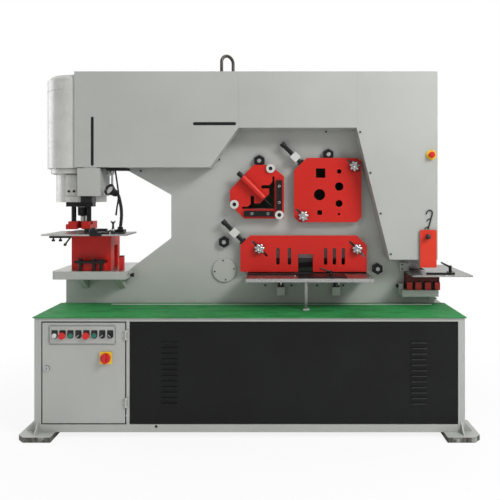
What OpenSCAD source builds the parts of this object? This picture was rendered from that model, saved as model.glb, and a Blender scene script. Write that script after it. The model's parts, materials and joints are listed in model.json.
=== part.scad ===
// Hydraulic ironworker: punching, angle, bar and plate shearing and notching.
// Millimetres, +Z up. X runs along the machine, -Y is the operator's side.
// Origin: centre of the footprint, on the floor.

/* [Machine] */
// Distance over the foot plates, along the machine
foot_span_x = 2700; // [2500:10:3000]
// Distance over the foot plates, front to back
foot_span_y = 1050; // [1000:10:1250]
// Height of the base deck above the floor
deck_z = 706; // [650:2:800]
// Height of the frame above the deck
frame_h = 1444; // [1440:2:1600]
// Half of the overall length, out to the punch cylinder and the notcher table
reach_x = 1392; // [1380:1:1460]

/* [Base] */
// How far the foot plates stand out past the ends of the base
foot_out = 75; // [50:5:120]
// Depth of the base box
base_d = 900; // [860:10:1000]
// Width of the square posts
post_w = 40; // [30:1:50]
// Height of the lower rails
rail_h = 45; // [35:1:60]
// Height of the upper rails
top_rail_h = 15; // [12:1:25]
// Thickness of the deck sheet
deck_t = 6; // [4:1:10]
// Thickness of the rubber work mat
mat_t = 6; // [3:1:8]
// Thickness of a foot plate
foot_t = 30; // [20:1:40]
// Length of a foot plate along X
foot_l = 200; // [170:5:240]
// Length of a foot plate along Y
foot_w = 290; // [260:5:320]
// Corner chamfer of a foot plate
foot_chamfer = 40; // [20:1:60]
// Radius of an anchor hole
anchor_r = 14; // [10:0.5:18]
// Middle of the post between door and front panel
divider_x = -721; // [-760:1:-680]
// Width of that post
divider_w = 18; // [14:1:30]
// Thickness of sheet panels and the door
sheet_t = 2; // [1.5:0.5:3]
// Gap round the door
door_gap = 8; // [4:0.5:10]
// Depth of the door's folded edge
door_fold = 20; // [12:1:30]
// Number of louvres in a column
louvre_n = 12; // [8:1:13]
// Distance between louvres
louvre_pitch = 33; // [30:1:36]
// Length of a louvre
louvre_l = 93; // [70:1:110]
// Radius of a louvre's hood
louvre_r = 11; // [8:0.5:13]

/* [Frame] */
// Thickness of each frame plate
plate_t = 30; // [25:1:40]
// Space between the frame plates
slide_gap = 110; // [100:1:130]
// Middle plane of the frame, front to back
mid_y = 75; // [60:1:90]
// Back wall of the punching throat
throat_x = -546; // [-600:1:-500]
// Right end of the frame
frame_right = 1185; // [1170:1:1190]
// Height of the notcher step
notch_z = 812; // [800:1:830]
// Radius of the tie bolts
tie_r = 20; // [16:1:24]
// Across-corners size of the tie nuts
tie_nut = 76; // [60:1:80]
// Centre of the beam's pivot, along X
pivot_x = -189; // [-200:1:-170]
// Centre of the beam's pivot, height
pivot_z = 932; // [925:1:940]
// Radius of the pivot pin
pivot_r = 50; // [40:1:60]
// Radius of the pivot's cover plates
pivot_cover_r = 79; // [70:1:95]

/* [Covers] */
// Thickness of the cover sheets
cover_t = 3; // [2:0.5:4]
// How far the covers stand in front of and behind the frame
cover_out = 150; // [145:1:180]
// Height of the covers' top above the frame plates
cover_over = 80; // [50:1:150]
// Left edge of the left cover
cover_left = -1143; // [-1160:1:-1120]
// Lower edge of the left cover
cover_low = 1612; // [1590:1:1640]
// Lower edge of the centre cover
centre_low = 1867; // [1850:1:1900]
// Seam between the left and the centre cover
seam_a = -86; // [-120:1:-60]
// Seam between the centre and the right cover
seam_b = 683; // [660:1:700]
// Right edge of the right cover
cover_right = 1196; // [1190:1:1220]
// Lower edge of the right cover
right_low = 1018; // [1000:1:1040]

/* [Punch station] */
// Middle of the punch, along X
punch_x = -1165; // [-1180:1:-1150]
// Outer radius of the punch cylinder
cyl_r = 227; // [212:1:230]
// Top of the punch cylinder
cyl_top = 2215; // [2180:1:2225]
// Radius of the cylinder's lower body
neck_r = 172; // [150:1:180]
// Bore of the cylinder
cyl_bore = 130; // [100:1:150]
// Radius of the punch ram
ram_r = 40; // [30:1:44]
// Stroke of the punch
punch_stroke = 58; // [40:1:60]
// Radius of the punch
punch_r = 14; // [5:0.5:16]
// Clearance of the punch in its die
die_clear = 0.4; // [0.2:0.1:1]
// Top of the punching table
table_z = 1190; // [1175:1:1195]
// Thickness of the punching table
table_t = 10; // [8:1:14]
// Top of the light bolster
bolster_z = 943; // [930:1:960]
// Thickness of the bolster
bolster_t = 52; // [45:1:60]

/* [Shear stations] */
// Thickness of the red guard plates
guard_t = 16; // [12:1:20]
// Gap between the frame and the guard plates
guard_gap = 34; // [32:1:40]
// Corner of the angle opening, along X
angle_x = 146; // [140:1:150]
// Corner of the angle opening, height
angle_z = 1342; // [1335:1:1350]
// Leg length of the angle opening
angle_leg = 214; // [180:1:220]
// Width of the angle opening's legs
angle_gap = 14; // [10:0.5:18]
// Thickness of the swing beam
beam_t = 90; // [70:1:96]
// Width of the largest square hole
square_hole = 62; // [40:1:64]
// Radius of the largest round hole
round_hole = 37; // [25:1:38]
// Top of the shearing table
shear_z = 916; // [905:1:918]
// Radius of the hold-down screws
screw_r = 14; // [9:0.5:14]
// Radius over the lobes of a star knob
knob_r = 37; // [28:1:40]
// Radius of the star knobs' studs
stud_r = 7; // [5:0.5:8]

/* [Hidden] */
$fn = 48;

paint = "#b9bab4";
red = "#cc2c24";
steel = "#9a9a98";
oxide = "#1e1e20";
chrome = "#d4d6d8";

// Clearances: sliding faces, running fits, and openings round loose bolts.
gap = 0.3;
run = 0.05;
loose = 1;

// Frame planes, front to back.
front_y = mid_y - slide_gap / 2 - plate_t;
gap_y0 = mid_y - slide_gap / 2;
gap_y1 = mid_y + slide_gap / 2;
back_y = mid_y + slide_gap / 2 + plate_t;
cover_front = front_y - cover_out;
cover_back = back_y + cover_out;
frame_top = deck_z + frame_h;
cover_top = frame_top + cover_over;
frame_left = punch_x - 85;
beam_y0 = mid_y - beam_t / 2;
beam_y1 = mid_y + beam_t / 2;

// Base planes.
base_l = foot_span_x - 2 * foot_out;
base_x = base_l / 2;
base_y = base_d / 2;
frame_z = deck_z - deck_t;
door_x0 = -base_x + post_w;
door_x1 = divider_x - divider_w / 2;
panel_z0 = foot_t + rail_h;
panel_z1 = frame_z - top_rail_h;

// Guard plates.
guard_y1 = front_y - guard_gap;
guard_y0 = guard_y1 - guard_t;
screw_y = (guard_y0 + guard_y1) / 2;

// A box between two corners.
module slab(x0, x1, y0, y1, z0, z1) {
    translate([x0, y0, z0]) cube([x1 - x0, y1 - y0, z1 - z0]);
}

// A profile drawn in X and Z, from y0 back to y1.
module profile(y0, y1) {
    translate([0, y1, 0]) rotate([90, 0, 0]) linear_extrude(y1 - y0) children();
}

// A bar along Y.
module rod_y(x, z, r, y0, y1) {
    translate([x, y0, z]) rotate([-90, 0, 0]) cylinder(r = r, h = y1 - y0);
}

// A bar along Z.
module rod_z(x, y, r, z0, z1) {
    translate([x, y, z0]) cylinder(r = r, h = z1 - z0);
}

// Moves to a point of a sloping axis that runs down to the right; +Z of the children is along it.
module down_right(x, y, z) {
    translate([x, y, z]) rotate([0, 135, 0]) children();
}

// A slot in a profile, centred, of total length l and width w, turned by a.
module slot(x, z, l, w, a) {
    translate([x, z]) rotate(a) union() {
        square([l - w, w], center = true);
        for (s = [-1, 1]) translate([s * (l - w) / 2, 0]) circle(d = w);
    }
}

// ---- Base ----

foot_hole_x = foot_span_x / 2 - 40;
foot_hole_y = foot_span_y / 2 - foot_w + 55;
hinge_x = door_x1 - door_gap / 2;
hinge_y = -base_y - 6;
hinge_z = [190, 590];
lock_x = door_x0 + 34;
lock_z = 408;

// Foot plate of one corner, in the first quadrant, with its anchor hole and two gussets.
module foot_plate() {
    x1 = foot_span_x / 2;
    y1 = foot_span_y / 2;
    difference() {
        linear_extrude(foot_t) polygon([
            [x1 - foot_l, y1 - foot_w], [x1 - foot_chamfer, y1 - foot_w], [x1, y1 - foot_w + foot_chamfer],
            [x1, y1 - foot_chamfer], [x1 - foot_chamfer, y1], [x1 - foot_l, y1]]);
        rod_z(foot_hole_x, foot_hole_y, anchor_r, -1, foot_t + 1);
    }
}

module foot_gussets() {
    rib = 8;
    // Beside the post, standing on the foot plate.
    translate([base_x, base_y - post_w / 2 + rib / 2, foot_t]) rotate([90, 0, 0])
        linear_extrude(rib) polygon([[0, 0], [50, 0], [0, 60]]);
    translate([base_x - post_w / 2 + rib / 2, base_y, foot_t]) rotate([90, 0, -90]) mirror([1, 0, 0])
        linear_extrude(rib) polygon([[0, 0], [50, 0], [0, 60]]);
}

module base_frame() color(paint) {
    leaf_x = door_x1 + divider_w - 2;
    hole_x = divider_x + 167;
    hole_r = 9;
    difference() {
        union() {
            for (mx = [0, 1], my = [0, 1]) mirror([mx, 0, 0]) mirror([0, my, 0]) {
                foot_plate();
                foot_gussets();
                slab(base_x - post_w, base_x, base_y - post_w, base_y, foot_t, frame_z);
            }
            for (my = [0, 1]) mirror([0, my, 0]) {
                slab(-base_x + post_w, base_x - post_w, base_y - post_w, base_y, foot_t, foot_t + rail_h);
                slab(-base_x + post_w, base_x - post_w, base_y - post_w, base_y, panel_z1, frame_z);
            }
            for (mx = [0, 1]) mirror([mx, 0, 0]) {
                slab(base_x - post_w, base_x, -base_y + post_w, base_y - post_w, foot_t, foot_t + rail_h);
                slab(base_x - post_w, base_x, -base_y + post_w, base_y - post_w, panel_z1, frame_z);
            }
            slab(door_x1, door_x1 + divider_w, -base_y, -base_y + post_w, foot_t + rail_h, panel_z1);
            // Bearers under the machine frame.
            for (y = [front_y + plate_t / 2, back_y - plate_t / 2])
                slab(-base_x + post_w, base_x - post_w, y - 25, y + 25, foot_t, frame_z);
            for (x = [-base_x + 300, 0, base_x - 300])
                slab(x - 25, x + 25, -base_y + post_w, base_y - post_w, foot_t, foot_t + rail_h);
            // Rails that carry the hydraulic unit.
            for (y = [-base_y + post_w + 50, -base_y + post_w + 220])
                slab(-base_x + post_w, base_x - post_w, y, y + 40, foot_t, foot_t + rail_h);
            // Fixed halves of the door's hinges.
            for (z = hinge_z) {
                rod_z(hinge_x, hinge_y, 3, z - 8, z + 38);
                for (dz = [-14, 30 + gap])
                    difference() {
                        union() {
                            rod_z(hinge_x, hinge_y, 6, z + dz, z + dz + 14 - gap);
                            slab(hinge_x, leaf_x, hinge_y - 2, -base_y + 1, z + dz, z + dz + 14 - gap);
                        }
                        slab(hinge_x + 7, leaf_x - 3, hinge_y, -base_y, z + dz - 1, z + dz + 15);
                    }
            }
            slab(-base_x, base_x, -base_y, base_y, frame_z, deck_z);
        }
        rod_y(hole_x, foot_t + rail_h * 0.72, hole_r, -base_y - 1, -base_y + post_w + 1);
    }
}

module work_mat() color("#2f8f46") {
    lap = 8;
    slab(-base_x - lap, base_x + lap, -base_y - lap, front_y - gap, deck_z, deck_z + mat_t);
    slab(-base_x - lap, base_x + lap, back_y + gap, base_y + lap, deck_z, deck_z + mat_t);
}

// Pressed hood that stands out of the sheet, open below.
module louvre_hood() {
    skin = 1.5;
    difference() {
        union() {
            rotate([0, 90, 0]) cylinder(r = louvre_r, h = louvre_l, center = true);
        }
        rotate([0, 90, 0]) cylinder(r = louvre_r - skin, h = louvre_l - 2 * skin, center = true);
        translate([-louvre_l, 0, -2 * louvre_r]) cube([2 * louvre_l, 2 * louvre_r, 4 * louvre_r]);
        translate([-louvre_l, -2 * louvre_r, -2 * louvre_r])
            cube([2 * louvre_l, 4 * louvre_r, 2 * louvre_r]);
    }
}

panel_y = -base_y + 6;

module front_panel() color("#1b1d1d") {
    x0 = door_x1 + divider_w + gap;
    x1 = base_x - post_w - gap;
    columns = [-477, 1003];
    z0 = 190;
    difference() {
        slab(x0, x1, panel_y, panel_y + sheet_t, panel_z0 + gap, panel_z1 - gap);
        for (x = columns, i = [0:louvre_n - 1])
            slab(x - louvre_l / 2 + 2, x + louvre_l / 2 - 2, panel_y - 1, panel_y + sheet_t + 1,
                z0 + i * louvre_pitch, z0 + i * louvre_pitch + louvre_r - 2);
    }
    for (x = columns, i = [0:louvre_n - 1])
        translate([x, panel_y, z0 + i * louvre_pitch]) louvre_hood();
}

module base_panels() color(paint) {
    for (s = [-1, 1])
        slab(min(s * (base_x - 6), s * (base_x - 6 - sheet_t)), max(s * (base_x - 6), s * (base_x - 6 - sheet_t)),
            -base_y + post_w + gap, base_y - post_w - gap, panel_z0 + gap, panel_z1 - gap);
    slab(-base_x + post_w + gap, base_x - post_w - gap, base_y - 6 - sheet_t, base_y - 6,
        panel_z0 + gap, panel_z1 - gap);
}

module hydraulic_unit() color("#6b7075") {
    floor_z = foot_t + rail_h;
    tank = [620, 300, 330];
    tank_x = 250;
    // Oil tank on the cross bearers, with its filler cap.
    translate([tank_x, -base_y + post_w + 20, foot_t + rail_h]) cube(tank);
    rod_z(tank_x + 80, -base_y + post_w + 90, 32, floor_z + tank[2], floor_z + tank[2] + 40);
    // Electric motor beside the tank on a foot, with the pump on its end.
    motor_x = -330;
    motor_z = floor_z + 150;
    motor_y = -base_y + post_w + 170;
    slab(motor_x - 130, motor_x + 130, motor_y - 100, motor_y + 100, floor_z, floor_z + 40);
    translate([motor_x - 170, motor_y, motor_z]) rotate([0, 90, 0]) cylinder(r = 120, h = 340);
    translate([motor_x + 170, motor_y, motor_z]) rotate([0, 90, 0]) cylinder(r = 70, h = 90);
    translate([motor_x + 260, motor_y, motor_z]) rotate([0, 90, 0]) cylinder(r = 45, h = 110);
    // Valve block on the tank's lid.
    slab(tank_x + 260, tank_x + 460, -base_y + post_w + 80, -base_y + post_w + 180,
        floor_z + tank[2], floor_z + tank[2] + 110);
}

module electric_panel() color("#c9cbc6") {
    x0 = door_x0 + 30;
    x1 = door_x1 - 40;
    y = -base_y + 200;
    slab(x0, x1, y, y + 3, foot_t + rail_h, 600);
    for (i = [0:4]) slab(x0 + 40 + i * 75, x0 + 95 + i * 75, y - 70, y, 420, 510);
    for (i = [0:6]) slab(x0 + 30 + i * 55, x0 + 60 + i * 55, y - 60, y, 300, 370);
    slab(x0 + 20, x1 - 20, y - 45, y, 170, 215);
}

// ---- Frame ----

arm_left = punch_x + cyl_r + 8;
step_x = 1013;
cyl_seat_z = 1500;
cyl_seat_x = 900;
tie_pts = [[44, 1662], [505, 1704], [pivot_x - 2, 1120], [833, 941]];
bar_stud = [[674, 1624], [337, 1294]];
plate_stud = [[47, 1080], [692, 1077]];
eye_x = -177;
shear_cyl_x = 1045;

module frame_outline() {
    polygon([[frame_left, deck_z], [1220, deck_z], [1220, notch_z], [step_x, notch_z], [step_x, right_low],
        [frame_right, right_low], [frame_right, cyl_seat_z], [cyl_seat_x, cyl_seat_z], [cyl_seat_x, frame_top],
        [arm_left, frame_top], [arm_left, cover_low + 13], [arm_left + 44, cover_low + 13],
        [throat_x - 10, 1441], [throat_x, 1434], [throat_x, 1152], [throat_x - 5, 1142],
        [throat_x - 337, bolster_z - bolster_t], [frame_left, bolster_z - bolster_t]]);
}

// Window behind the angle opening, with a cut-off corner towards the hold-down.
module angle_window(grow) {
    a = angle_leg + 12;
    translate([angle_x, angle_z]) polygon([[grow, -grow], [grow, a + grow], [-20, a + grow],
        [-a - grow, 20], [-a - grow, -grow]]);
}

bar_win = [395, 628, 1285, 1625];
bar_round = [[574, 1590, 15], [574, 1490, 28], [573, 1378, 23], [573, 1308, 8]];
slit = [-30, 765, 868, 1012];

module bar_window(grow) {
    translate([bar_win[0] - grow, bar_win[2] - grow])
        square([bar_win[1] - bar_win[0] + 2 * grow, bar_win[3] - bar_win[2] + 2 * grow]);
}

// The bar station's holes: two square and five round, each grown by e.
module bar_holes(e) {
    translate([451, 1579]) square(square_hole + 2 * e, center = true);
    translate([445, 1318]) square(square_hole / 2 + 2 * e, center = true);
    translate([444, 1436]) circle(r = round_hole + e);
    for (h = bar_round) translate([h[0], h[1]]) circle(r = h[2] + e);
}

module stations() {
    angle_window(0);
    bar_window(0);
    translate([slit[0], slit[2]]) square([slit[1] - slit[0], slit[3] - slit[2]]);
}

module frame_plate(y0, y1) {
    difference() {
        profile(y0, y1) difference() {
            frame_outline();
            stations();
        }
        for (p = tie_pts) rod_y(p[0], p[1], tie_r + loose, y0 - 1, y1 + 1);
        rod_y(pivot_x, pivot_z, pivot_r + run, y0 - 1, y1 + 1);
    }
}

block_s = 52;
bar_block = [284, 1685];
plate_block = [-119, 1184];

// Nut block of a hold-down screw, standing on the frame's face.
module screw_block(p) {
    difference() {
        down_right(p[0], (guard_y0 - 12 + front_y) / 2, p[1])
            cube([block_s, front_y - guard_y0 + 12, block_s], center = true);
        down_right(p[0], screw_y, p[1]) translate([0, 0, -block_s]) cylinder(r = screw_r + run, h = 2 * block_s);
    }
}

module front_frame_plate() color(paint) {
    frame_plate(front_y, gap_y0);
    screw_block(bar_block);
    screw_block(plate_block);
}

module rear_frame_plate() color(paint) {
    frame_plate(gap_y1, back_y);
    // Spacers, welded to the rear plate.
    difference() {
        union() {
            slab(frame_left + 20, -320, gap_y0, gap_y1, deck_z, 860);
            slab(-320, 1200, gap_y0, gap_y1, deck_z, 790);
            slab(arm_left + 10, -180, gap_y0, gap_y1, 1780, frame_top);
            slab(-180, cyl_seat_x - 10, gap_y0, gap_y1, 1860, frame_top);
            profile(gap_y0, gap_y1) polygon([[arm_left + 92, cover_low + 4], [throat_x + 4, 1460],
                [throat_x + 120, 1460], [throat_x + 120, 1780], [arm_left + 92, 1780]]);
            profile(gap_y0, gap_y1) polygon([[throat_x + 4, 1130], [throat_x + 90, 1130],
                [throat_x + 90, 860], [throat_x - 300, 860], [throat_x - 300, 900]]);
        }
        rod_z(eye_x, mid_y, 18, frame_top - 90, frame_top + 1);
    }
}

nut_t = 24;
washer_t = 4;

// Tie bolt with a washer and a hexagon nut on each side of the frame.
module tie_bolt(p) {
    rod_y(p[0], p[1], tie_r, front_y - washer_t - nut_t - 2, back_y + washer_t + nut_t + 2);
    for (y = [front_y - washer_t, back_y]) rod_y(p[0], p[1], tie_nut / 2 + 5, y, y + washer_t);
    for (y = [front_y - washer_t - nut_t, back_y + washer_t])
        translate([p[0], y, p[1]]) rotate([-90, 30, 0]) cylinder(d = tie_nut, h = nut_t, $fn = 6);
}

// Stud of a star knob, with the shoulder that carries the guard plate.
module knob_stud(p) {
    rod_y(p[0], p[1], stud_r, guard_y0 - 30, front_y);
    rod_y(p[0], p[1], stud_r + 11, guard_y1 + gap, front_y);
}

module frame_pins() color(oxide) {
    for (p = tie_pts) tie_bolt(p);
    for (p = bar_stud) knob_stud(p);
    for (p = plate_stud) knob_stud(p);
    rod_y(pivot_x, pivot_z, pivot_r, front_y, back_y);
}

module pivot_covers() color(paint) {
    lip = 10;
    for (y = [front_y - lip, back_y]) difference() {
        rod_y(pivot_x, pivot_z, pivot_cover_r, y, y + lip);
        for (a = [0:90:270])
            rod_y(pivot_x + cos(a + 8) * (pivot_cover_r - 14), pivot_z + sin(a + 8) * (pivot_cover_r - 14), 5,
                y - 1, y + lip + 1);
    }
}

// ---- Covers ----

slant_top = [675, centre_low];
slant_low = [888, right_low];
left_corner = [-270, cover_low];

// Sheet cover: an outline folded round the frame in front, above and behind.
// The part of its rim that the frame plates pass through is left open.
module cover_shell(outline, inside) {
    difference() {
        profile(cover_front, cover_back) polygon(outline);
        profile(cover_front + cover_t, cover_back - cover_t) polygon(inside);
        slab(-2000, cover_right - cover_t - 1, front_y - gap, back_y + gap, 0, cover_top - cover_t);
    }
}

module left_cover() color(paint) {
    t = cover_t;
    slot_w = 19;
    difference() {
        cover_shell(
            [[cover_left, cover_top], [cover_left, cover_low], left_corner,
                [seam_a, centre_low], [seam_a, cover_top]],
            [[cover_left - 1, cover_top - t], [cover_left - 1, cover_low + t],
                [left_corner[0] - 1.7, cover_low + t], [seam_a - 1.2, centre_low + t], [seam_a + 1, centre_low + t],
                [seam_a + 1, cover_top - t]]);
        // The cylinder comes down through the lower rim.
        slab(cover_left - 1, arm_left + 4, cover_front + t, cover_back - t, cover_low - 1, cover_low + 2 * t);
        profile(cover_front - 1, cover_front + t + 1) slot(-1027, 1780, 298 + slot_w, slot_w, 90);
        profile(cover_front - 1, cover_front + t + 1) slot(-240, 1893, 278, slot_w + 2, 0);
        rod_z(eye_x, mid_y, 18, cover_top - t - 1, cover_top + 1);
    }
}

module centre_cover() color(paint) {
    t = cover_t;
    x0 = seam_a + gap;
    x1 = seam_b - gap;
    difference() {
        cover_shell(
            [[x0, cover_top], [x0, centre_low], [x1, centre_low], [x1, cover_top]],
            [[x0 - 1, cover_top - t], [x0 - 1, centre_low + t], [x1 + 1, centre_low + t], [x1 + 1, cover_top - t]]);
    }
    rear_hood();
}

// Hood behind the shear stations, open below, that leads cut pieces down.
module rear_hood() {
    t = cover_t;
    x0 = -90;
    x1 = 780;
    low = slit[2] - 8;
    shoulder = [722, 1380];
    top = bar_win[3] - 9;
    depth = 240;
    difference() {
        profile(back_y, back_y + depth)
            polygon([[x0, low], [x1, low], [x1, shoulder[1]], [shoulder[0], top], [x0, top]]);
        profile(back_y - 1, back_y + depth - t)
            polygon([[x0 + t, low - 1], [x1 - t, low - 1], [x1 - t, shoulder[1]], [shoulder[0] - t, top - t],
                [x0 + t, top - t]]);
    }
}

guard_knob = [1125, 1168];

stop = [1154, 1692];

module right_cover() color(paint) {
    t = cover_t;
    difference() {
        union() {
            cover_shell(
                [[seam_b, cover_top], [seam_b, centre_low], slant_top, slant_low, [cover_right, right_low],
                    [cover_right, cover_top]],
                [[seam_b - 1, cover_top - t], [seam_b - 1, centre_low + 0.5], [slant_top[0] + 3.1, centre_low],
                    [slant_low[0] + 2.4, right_low + t], [cover_right - t, right_low + t],
                    [cover_right - t, cover_top - t]]);
            // Boss of the emergency stop, and the rear guard of the notcher.
            rod_y(stop[0], stop[1], 32, cover_front - 8, cover_front);
            slab(1000, cover_right, cover_back - t, cover_back, right_low - 82, right_low + t);
        }
        profile(cover_front - 1, cover_front + t + 1) slot(guard_knob[0], guard_knob[1] - 10, 96, 13, 90);
        rod_y(stop[0], stop[1], 10 + run, cover_front - 9, cover_front + t + 1);
    }
}

module e_stop_button() color(red) {
    travel = 5;
    translate([stop[0], cover_front - 8 - travel - 1, stop[1]]) rotate([90, 0, 0]) rotate_extrude()
        polygon([[0, -34], [10, -34], [10, 0], [19, 0], [20, 4], [20, 12], [17, 16], [0, 17]]);
}

module lifting_eye() color(steel) {
    bow_r = 48;
    bar_r = 11;
    flange_t = 12;
    bow_z = cover_top + 166 - bow_r - bar_r;
    rod_z(eye_x, mid_y, 17, frame_top - 80, cover_top + 1);
    rod_z(eye_x, mid_y, bow_r + bar_r + 5, cover_top, cover_top + flange_t);
    translate([eye_x, mid_y, bow_z]) rotate(40) {
        difference() {
            rotate([90, 0, 0]) rotate_extrude() translate([bow_r, 0]) circle(r = bar_r, $fn = 32);
            translate([-100, -100, -200]) cube(200);
        }
        for (s = [-1, 1]) rod_z(s * bow_r, 0, bar_r, cover_top + flange_t - 1 - bow_z, 0);
    }
}

// ---- Punch station ----

neck_z = 1386;
flange_z = 1577;
barrel_z = 1609;
plate_low = neck_z - 30;
post_x = 51;
post_y = mid_y - 36;
post_r = 16;
nut_low = 1293;
punch_tip = 1212;
block_x0 = -1190;
block_x1 = -930;
block_y0 = -75;
block_y1 = 130;

module punch_cylinder() color("#d2d3cf") {
    difference() {
        union() {
            translate([punch_x, mid_y, 0]) rotate_extrude() polygon([
                [0, neck_z], [neck_r, neck_z], [neck_r, flange_z - 10], [cyl_r - 21, flange_z], [cyl_r - 21, barrel_z],
                [cyl_r, barrel_z], [cyl_r, cyl_top - 25], [cyl_r - 25, cyl_top], [0, cyl_top]]);
            // Lug held between the frame plates.
            slab(punch_x, arm_left + 90, gap_y0 + gap, gap_y1 - gap, barrel_z + 60, 1770);
            // Two flat plates on the front of the neck.
            slab(punch_x - 54, punch_x + 19, mid_y - neck_r - 6, mid_y - 100, neck_z + 41, flange_z - 12);
            slab(punch_x - 54, punch_x + 81, mid_y - neck_r - 12, mid_y - 100, neck_z + 3, neck_z + 39);
        }
        rod_z(punch_x, mid_y, cyl_bore, barrel_z + 30, cyl_top - 60);
        rod_z(punch_x, mid_y, ram_r + run, neck_z - 1, barrel_z + 31);
        for (s = [-1, 1]) rod_z(punch_x + s * post_x, post_y, post_r + run, neck_z - 1, neck_z + 60);
        // The neck's foot is cut away on the right.
        slab(punch_x + 125, punch_x + neck_r + 1, mid_y - neck_r, mid_y + neck_r, neck_z - 1, neck_z + 41);
    }
}

// Housing of the stroke limit switches, with the plate that the punch posts hang through.
module stroke_box() color("#a9aaa4") {
    x0 = punch_x + 40;
    x1 = x0 + 147;
    box_y = cover_front + cover_t;
    box_z = neck_z + 41;
    plate_x = [punch_x - 88, punch_x + 90];
    difference() {
        union() {
            slab(x0, x1, box_y, box_y + 182, box_z, barrel_z - 2);
            slab(x0 + 42, x1 - 20, box_y, box_y + 6, barrel_z - 3, barrel_z + 100);
            slab(x0 + 15, x0 + 85, box_y + 24, mid_y - neck_r - 12 - gap, neck_z + gap, box_z + 1);
            slab(plate_x[0], plate_x[1], mid_y - 80, mid_y - 13, plate_low, neck_z);
        }
        rod_z(punch_x, mid_y, neck_r + gap, neck_z + 1, flange_z - 10 + gap);
        rod_z(punch_x, mid_y, cyl_r - 21 + gap, flange_z - 10, barrel_z);
        slab(x0 + 3, x1 - 3, box_y + 3, mid_y - neck_r - 3, box_z + 3, flange_z - 15);
        rod_z(punch_x, mid_y, ram_r + 4, plate_low - 1, neck_z + 1);
        for (s = [-1, 1]) rod_z(punch_x + s * post_x, post_y, post_r + run, plate_low - 1, neck_z + 1);
    }
}

module punch_ram() color(steel) {
    union() {
        rod_z(punch_x, mid_y, ram_r, nut_low + 59, barrel_z + 250);
        rod_z(punch_x, mid_y, cyl_bore - run, barrel_z + 120 + punch_stroke, barrel_z + 250);
    }
}

// Coupling nut and punch.
module punch_tool() color(oxide) {
    nut_top = nut_low + 59;
    difference() {
        union() {
            rod_z(punch_x, mid_y, 36, nut_low + 4, nut_top);
            translate([punch_x, mid_y, nut_low]) cylinder(r1 = 30, r2 = 36, h = 4);
            rod_z(punch_x, mid_y, punch_r + 6, nut_low - 40, nut_low);
            rod_z(punch_x, mid_y, punch_r, punch_tip, nut_low);
        }
        for (a = [0:60:300]) translate([punch_x, mid_y, nut_low + 35]) rotate(a)
            translate([36, 0, 0]) cube([8, 8, 24], center = true);
    }
}

// Stripper fork on its two posts.
module stripper() color(red) {
    fork_z0 = 1204;
    fork_z1 = 1256;
    y0 = mid_y - 85;
    x0 = punch_x - 88;
    x1 = punch_x + 76;
    difference() {
        slab(x0, x1, y0, mid_y + 62, fork_z0, fork_z1);
        translate([punch_x, mid_y, fork_z0 - 1]) linear_extrude(fork_z1 - fork_z0 + 2)
            polygon([[-41, 41], [-41, -23], [-23, -41], [-18, -41], [-18, -86], [18, -86], [18, -41],
                [23, -41], [41, -23], [41, 41]]);
        slab(x0 - 1, x0 + 16, y0 - 1, y0 + 55, fork_z0 + 34, fork_z1 + 1);
        slab(x1 - 9, x1 + 1, y0 - 1, y0 + 55, fork_z0 + 34, fork_z1 + 1);
    }
    for (s = [-1, 1]) rod_z(punch_x + s * post_x, post_y, post_r, fork_z1 - 1, neck_z + 30);
}

module die_bolster() color(paint) {
    x0 = -1286;
    x1 = -808;
    y0 = -170;
    y1 = 2 * mid_y - y0;
    corner = 25;
    z0 = bolster_z - bolster_t;
    rib = 38;
    slope_x = throat_x - 337;
    slope_run = 332 / (1142 - bolster_z + bolster_t);
    difference() {
        union() {
            slab(x0 + corner, x1, y0, y1, z0, bolster_z);
            slab(x0, x0 + corner, y0 + corner, y1 - corner, z0, bolster_z);
            for (y = [y0 + corner, y1 - corner]) rod_z(x0 + corner, y, corner, z0, bolster_z);
        }
        rod_z(punch_x, mid_y, punch_r + 12, z0 - 1, bolster_z + 1);
        // Let in round the sloping edge of the frame plates.
        profile(front_y - gap, back_y + gap) polygon([[slope_x - gap, z0 - 1], [slope_x - gap, z0],
            [slope_x + bolster_t * slope_run - gap, bolster_z + 1], [x1 + 1, bolster_z + 1], [x1 + 1, z0 - 1]]);
    }
    for (x = [-1135, -889], side = [0, 1]) translate([x, side == 0 ? front_y : back_y, z0]) mirror([0, 1 - side, 0])
        rotate([90, 0, 90]) linear_extrude(rib) polygon([[0, 0], [130, 0], [0, -82]]);
}

seat_r = 45;
toe_x = [-1145, -949];
toe_t = 48;

module die_block() color(red) {
    difference() {
        union() {
            slab(block_x0, block_x1, block_y0, block_y1, bolster_z, table_z - table_t);
            // Boss round the die.
            rod_z(punch_x, mid_y, seat_r + 10, bolster_z, table_z - table_t);
        }
        // Recess in the side.
        slab(block_x1 - 22, block_x1 + 1, block_y0 + 72, block_y0 + 155, bolster_z - 1, bolster_z + 153);
        rod_z(punch_x, mid_y, punch_r + 10, bolster_z - 1, table_z);
        rod_z(punch_x, mid_y, seat_r + run, table_z - table_t - 40, table_z);
    }
    // Toe that the clamp bar presses down, and a stop block on the bolster.
    slab(toe_x[0], toe_x[1], block_y0 - 42, block_y0, bolster_z, bolster_z + toe_t);
    slab(-877, -849, -75, -45, bolster_z, bolster_z + 84);
}

module punch_die() color(steel) {
    difference() {
        rod_z(punch_x, mid_y, seat_r, table_z - table_t - 40, table_z + 2);
        rod_z(punch_x, mid_y, punch_r + die_clear, table_z - table_t - 41, table_z + 3);
    }
}

// Clamp bar over the die block's toe, with three bolts into the bolster.
module die_clamps() color(oxide) {
    toe_z = bolster_z + toe_t;
    bolt_y = block_y0 - 53;
    slab(toe_x[0] - 6, toe_x[1] - 6, block_y0 - 66, block_y0 - 2, toe_z, toe_z + 14);
    for (x = [-1115, -1025, -980]) {
        rod_z(x, bolt_y, 10, bolster_z, toe_z + 14);
        translate([x, bolt_y, toe_z + 14]) cylinder(d = 32, h = 14, $fn = 6);
    }
}

table_x0 = -1298;
table_x1 = -775;
table_front = -300;

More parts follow.
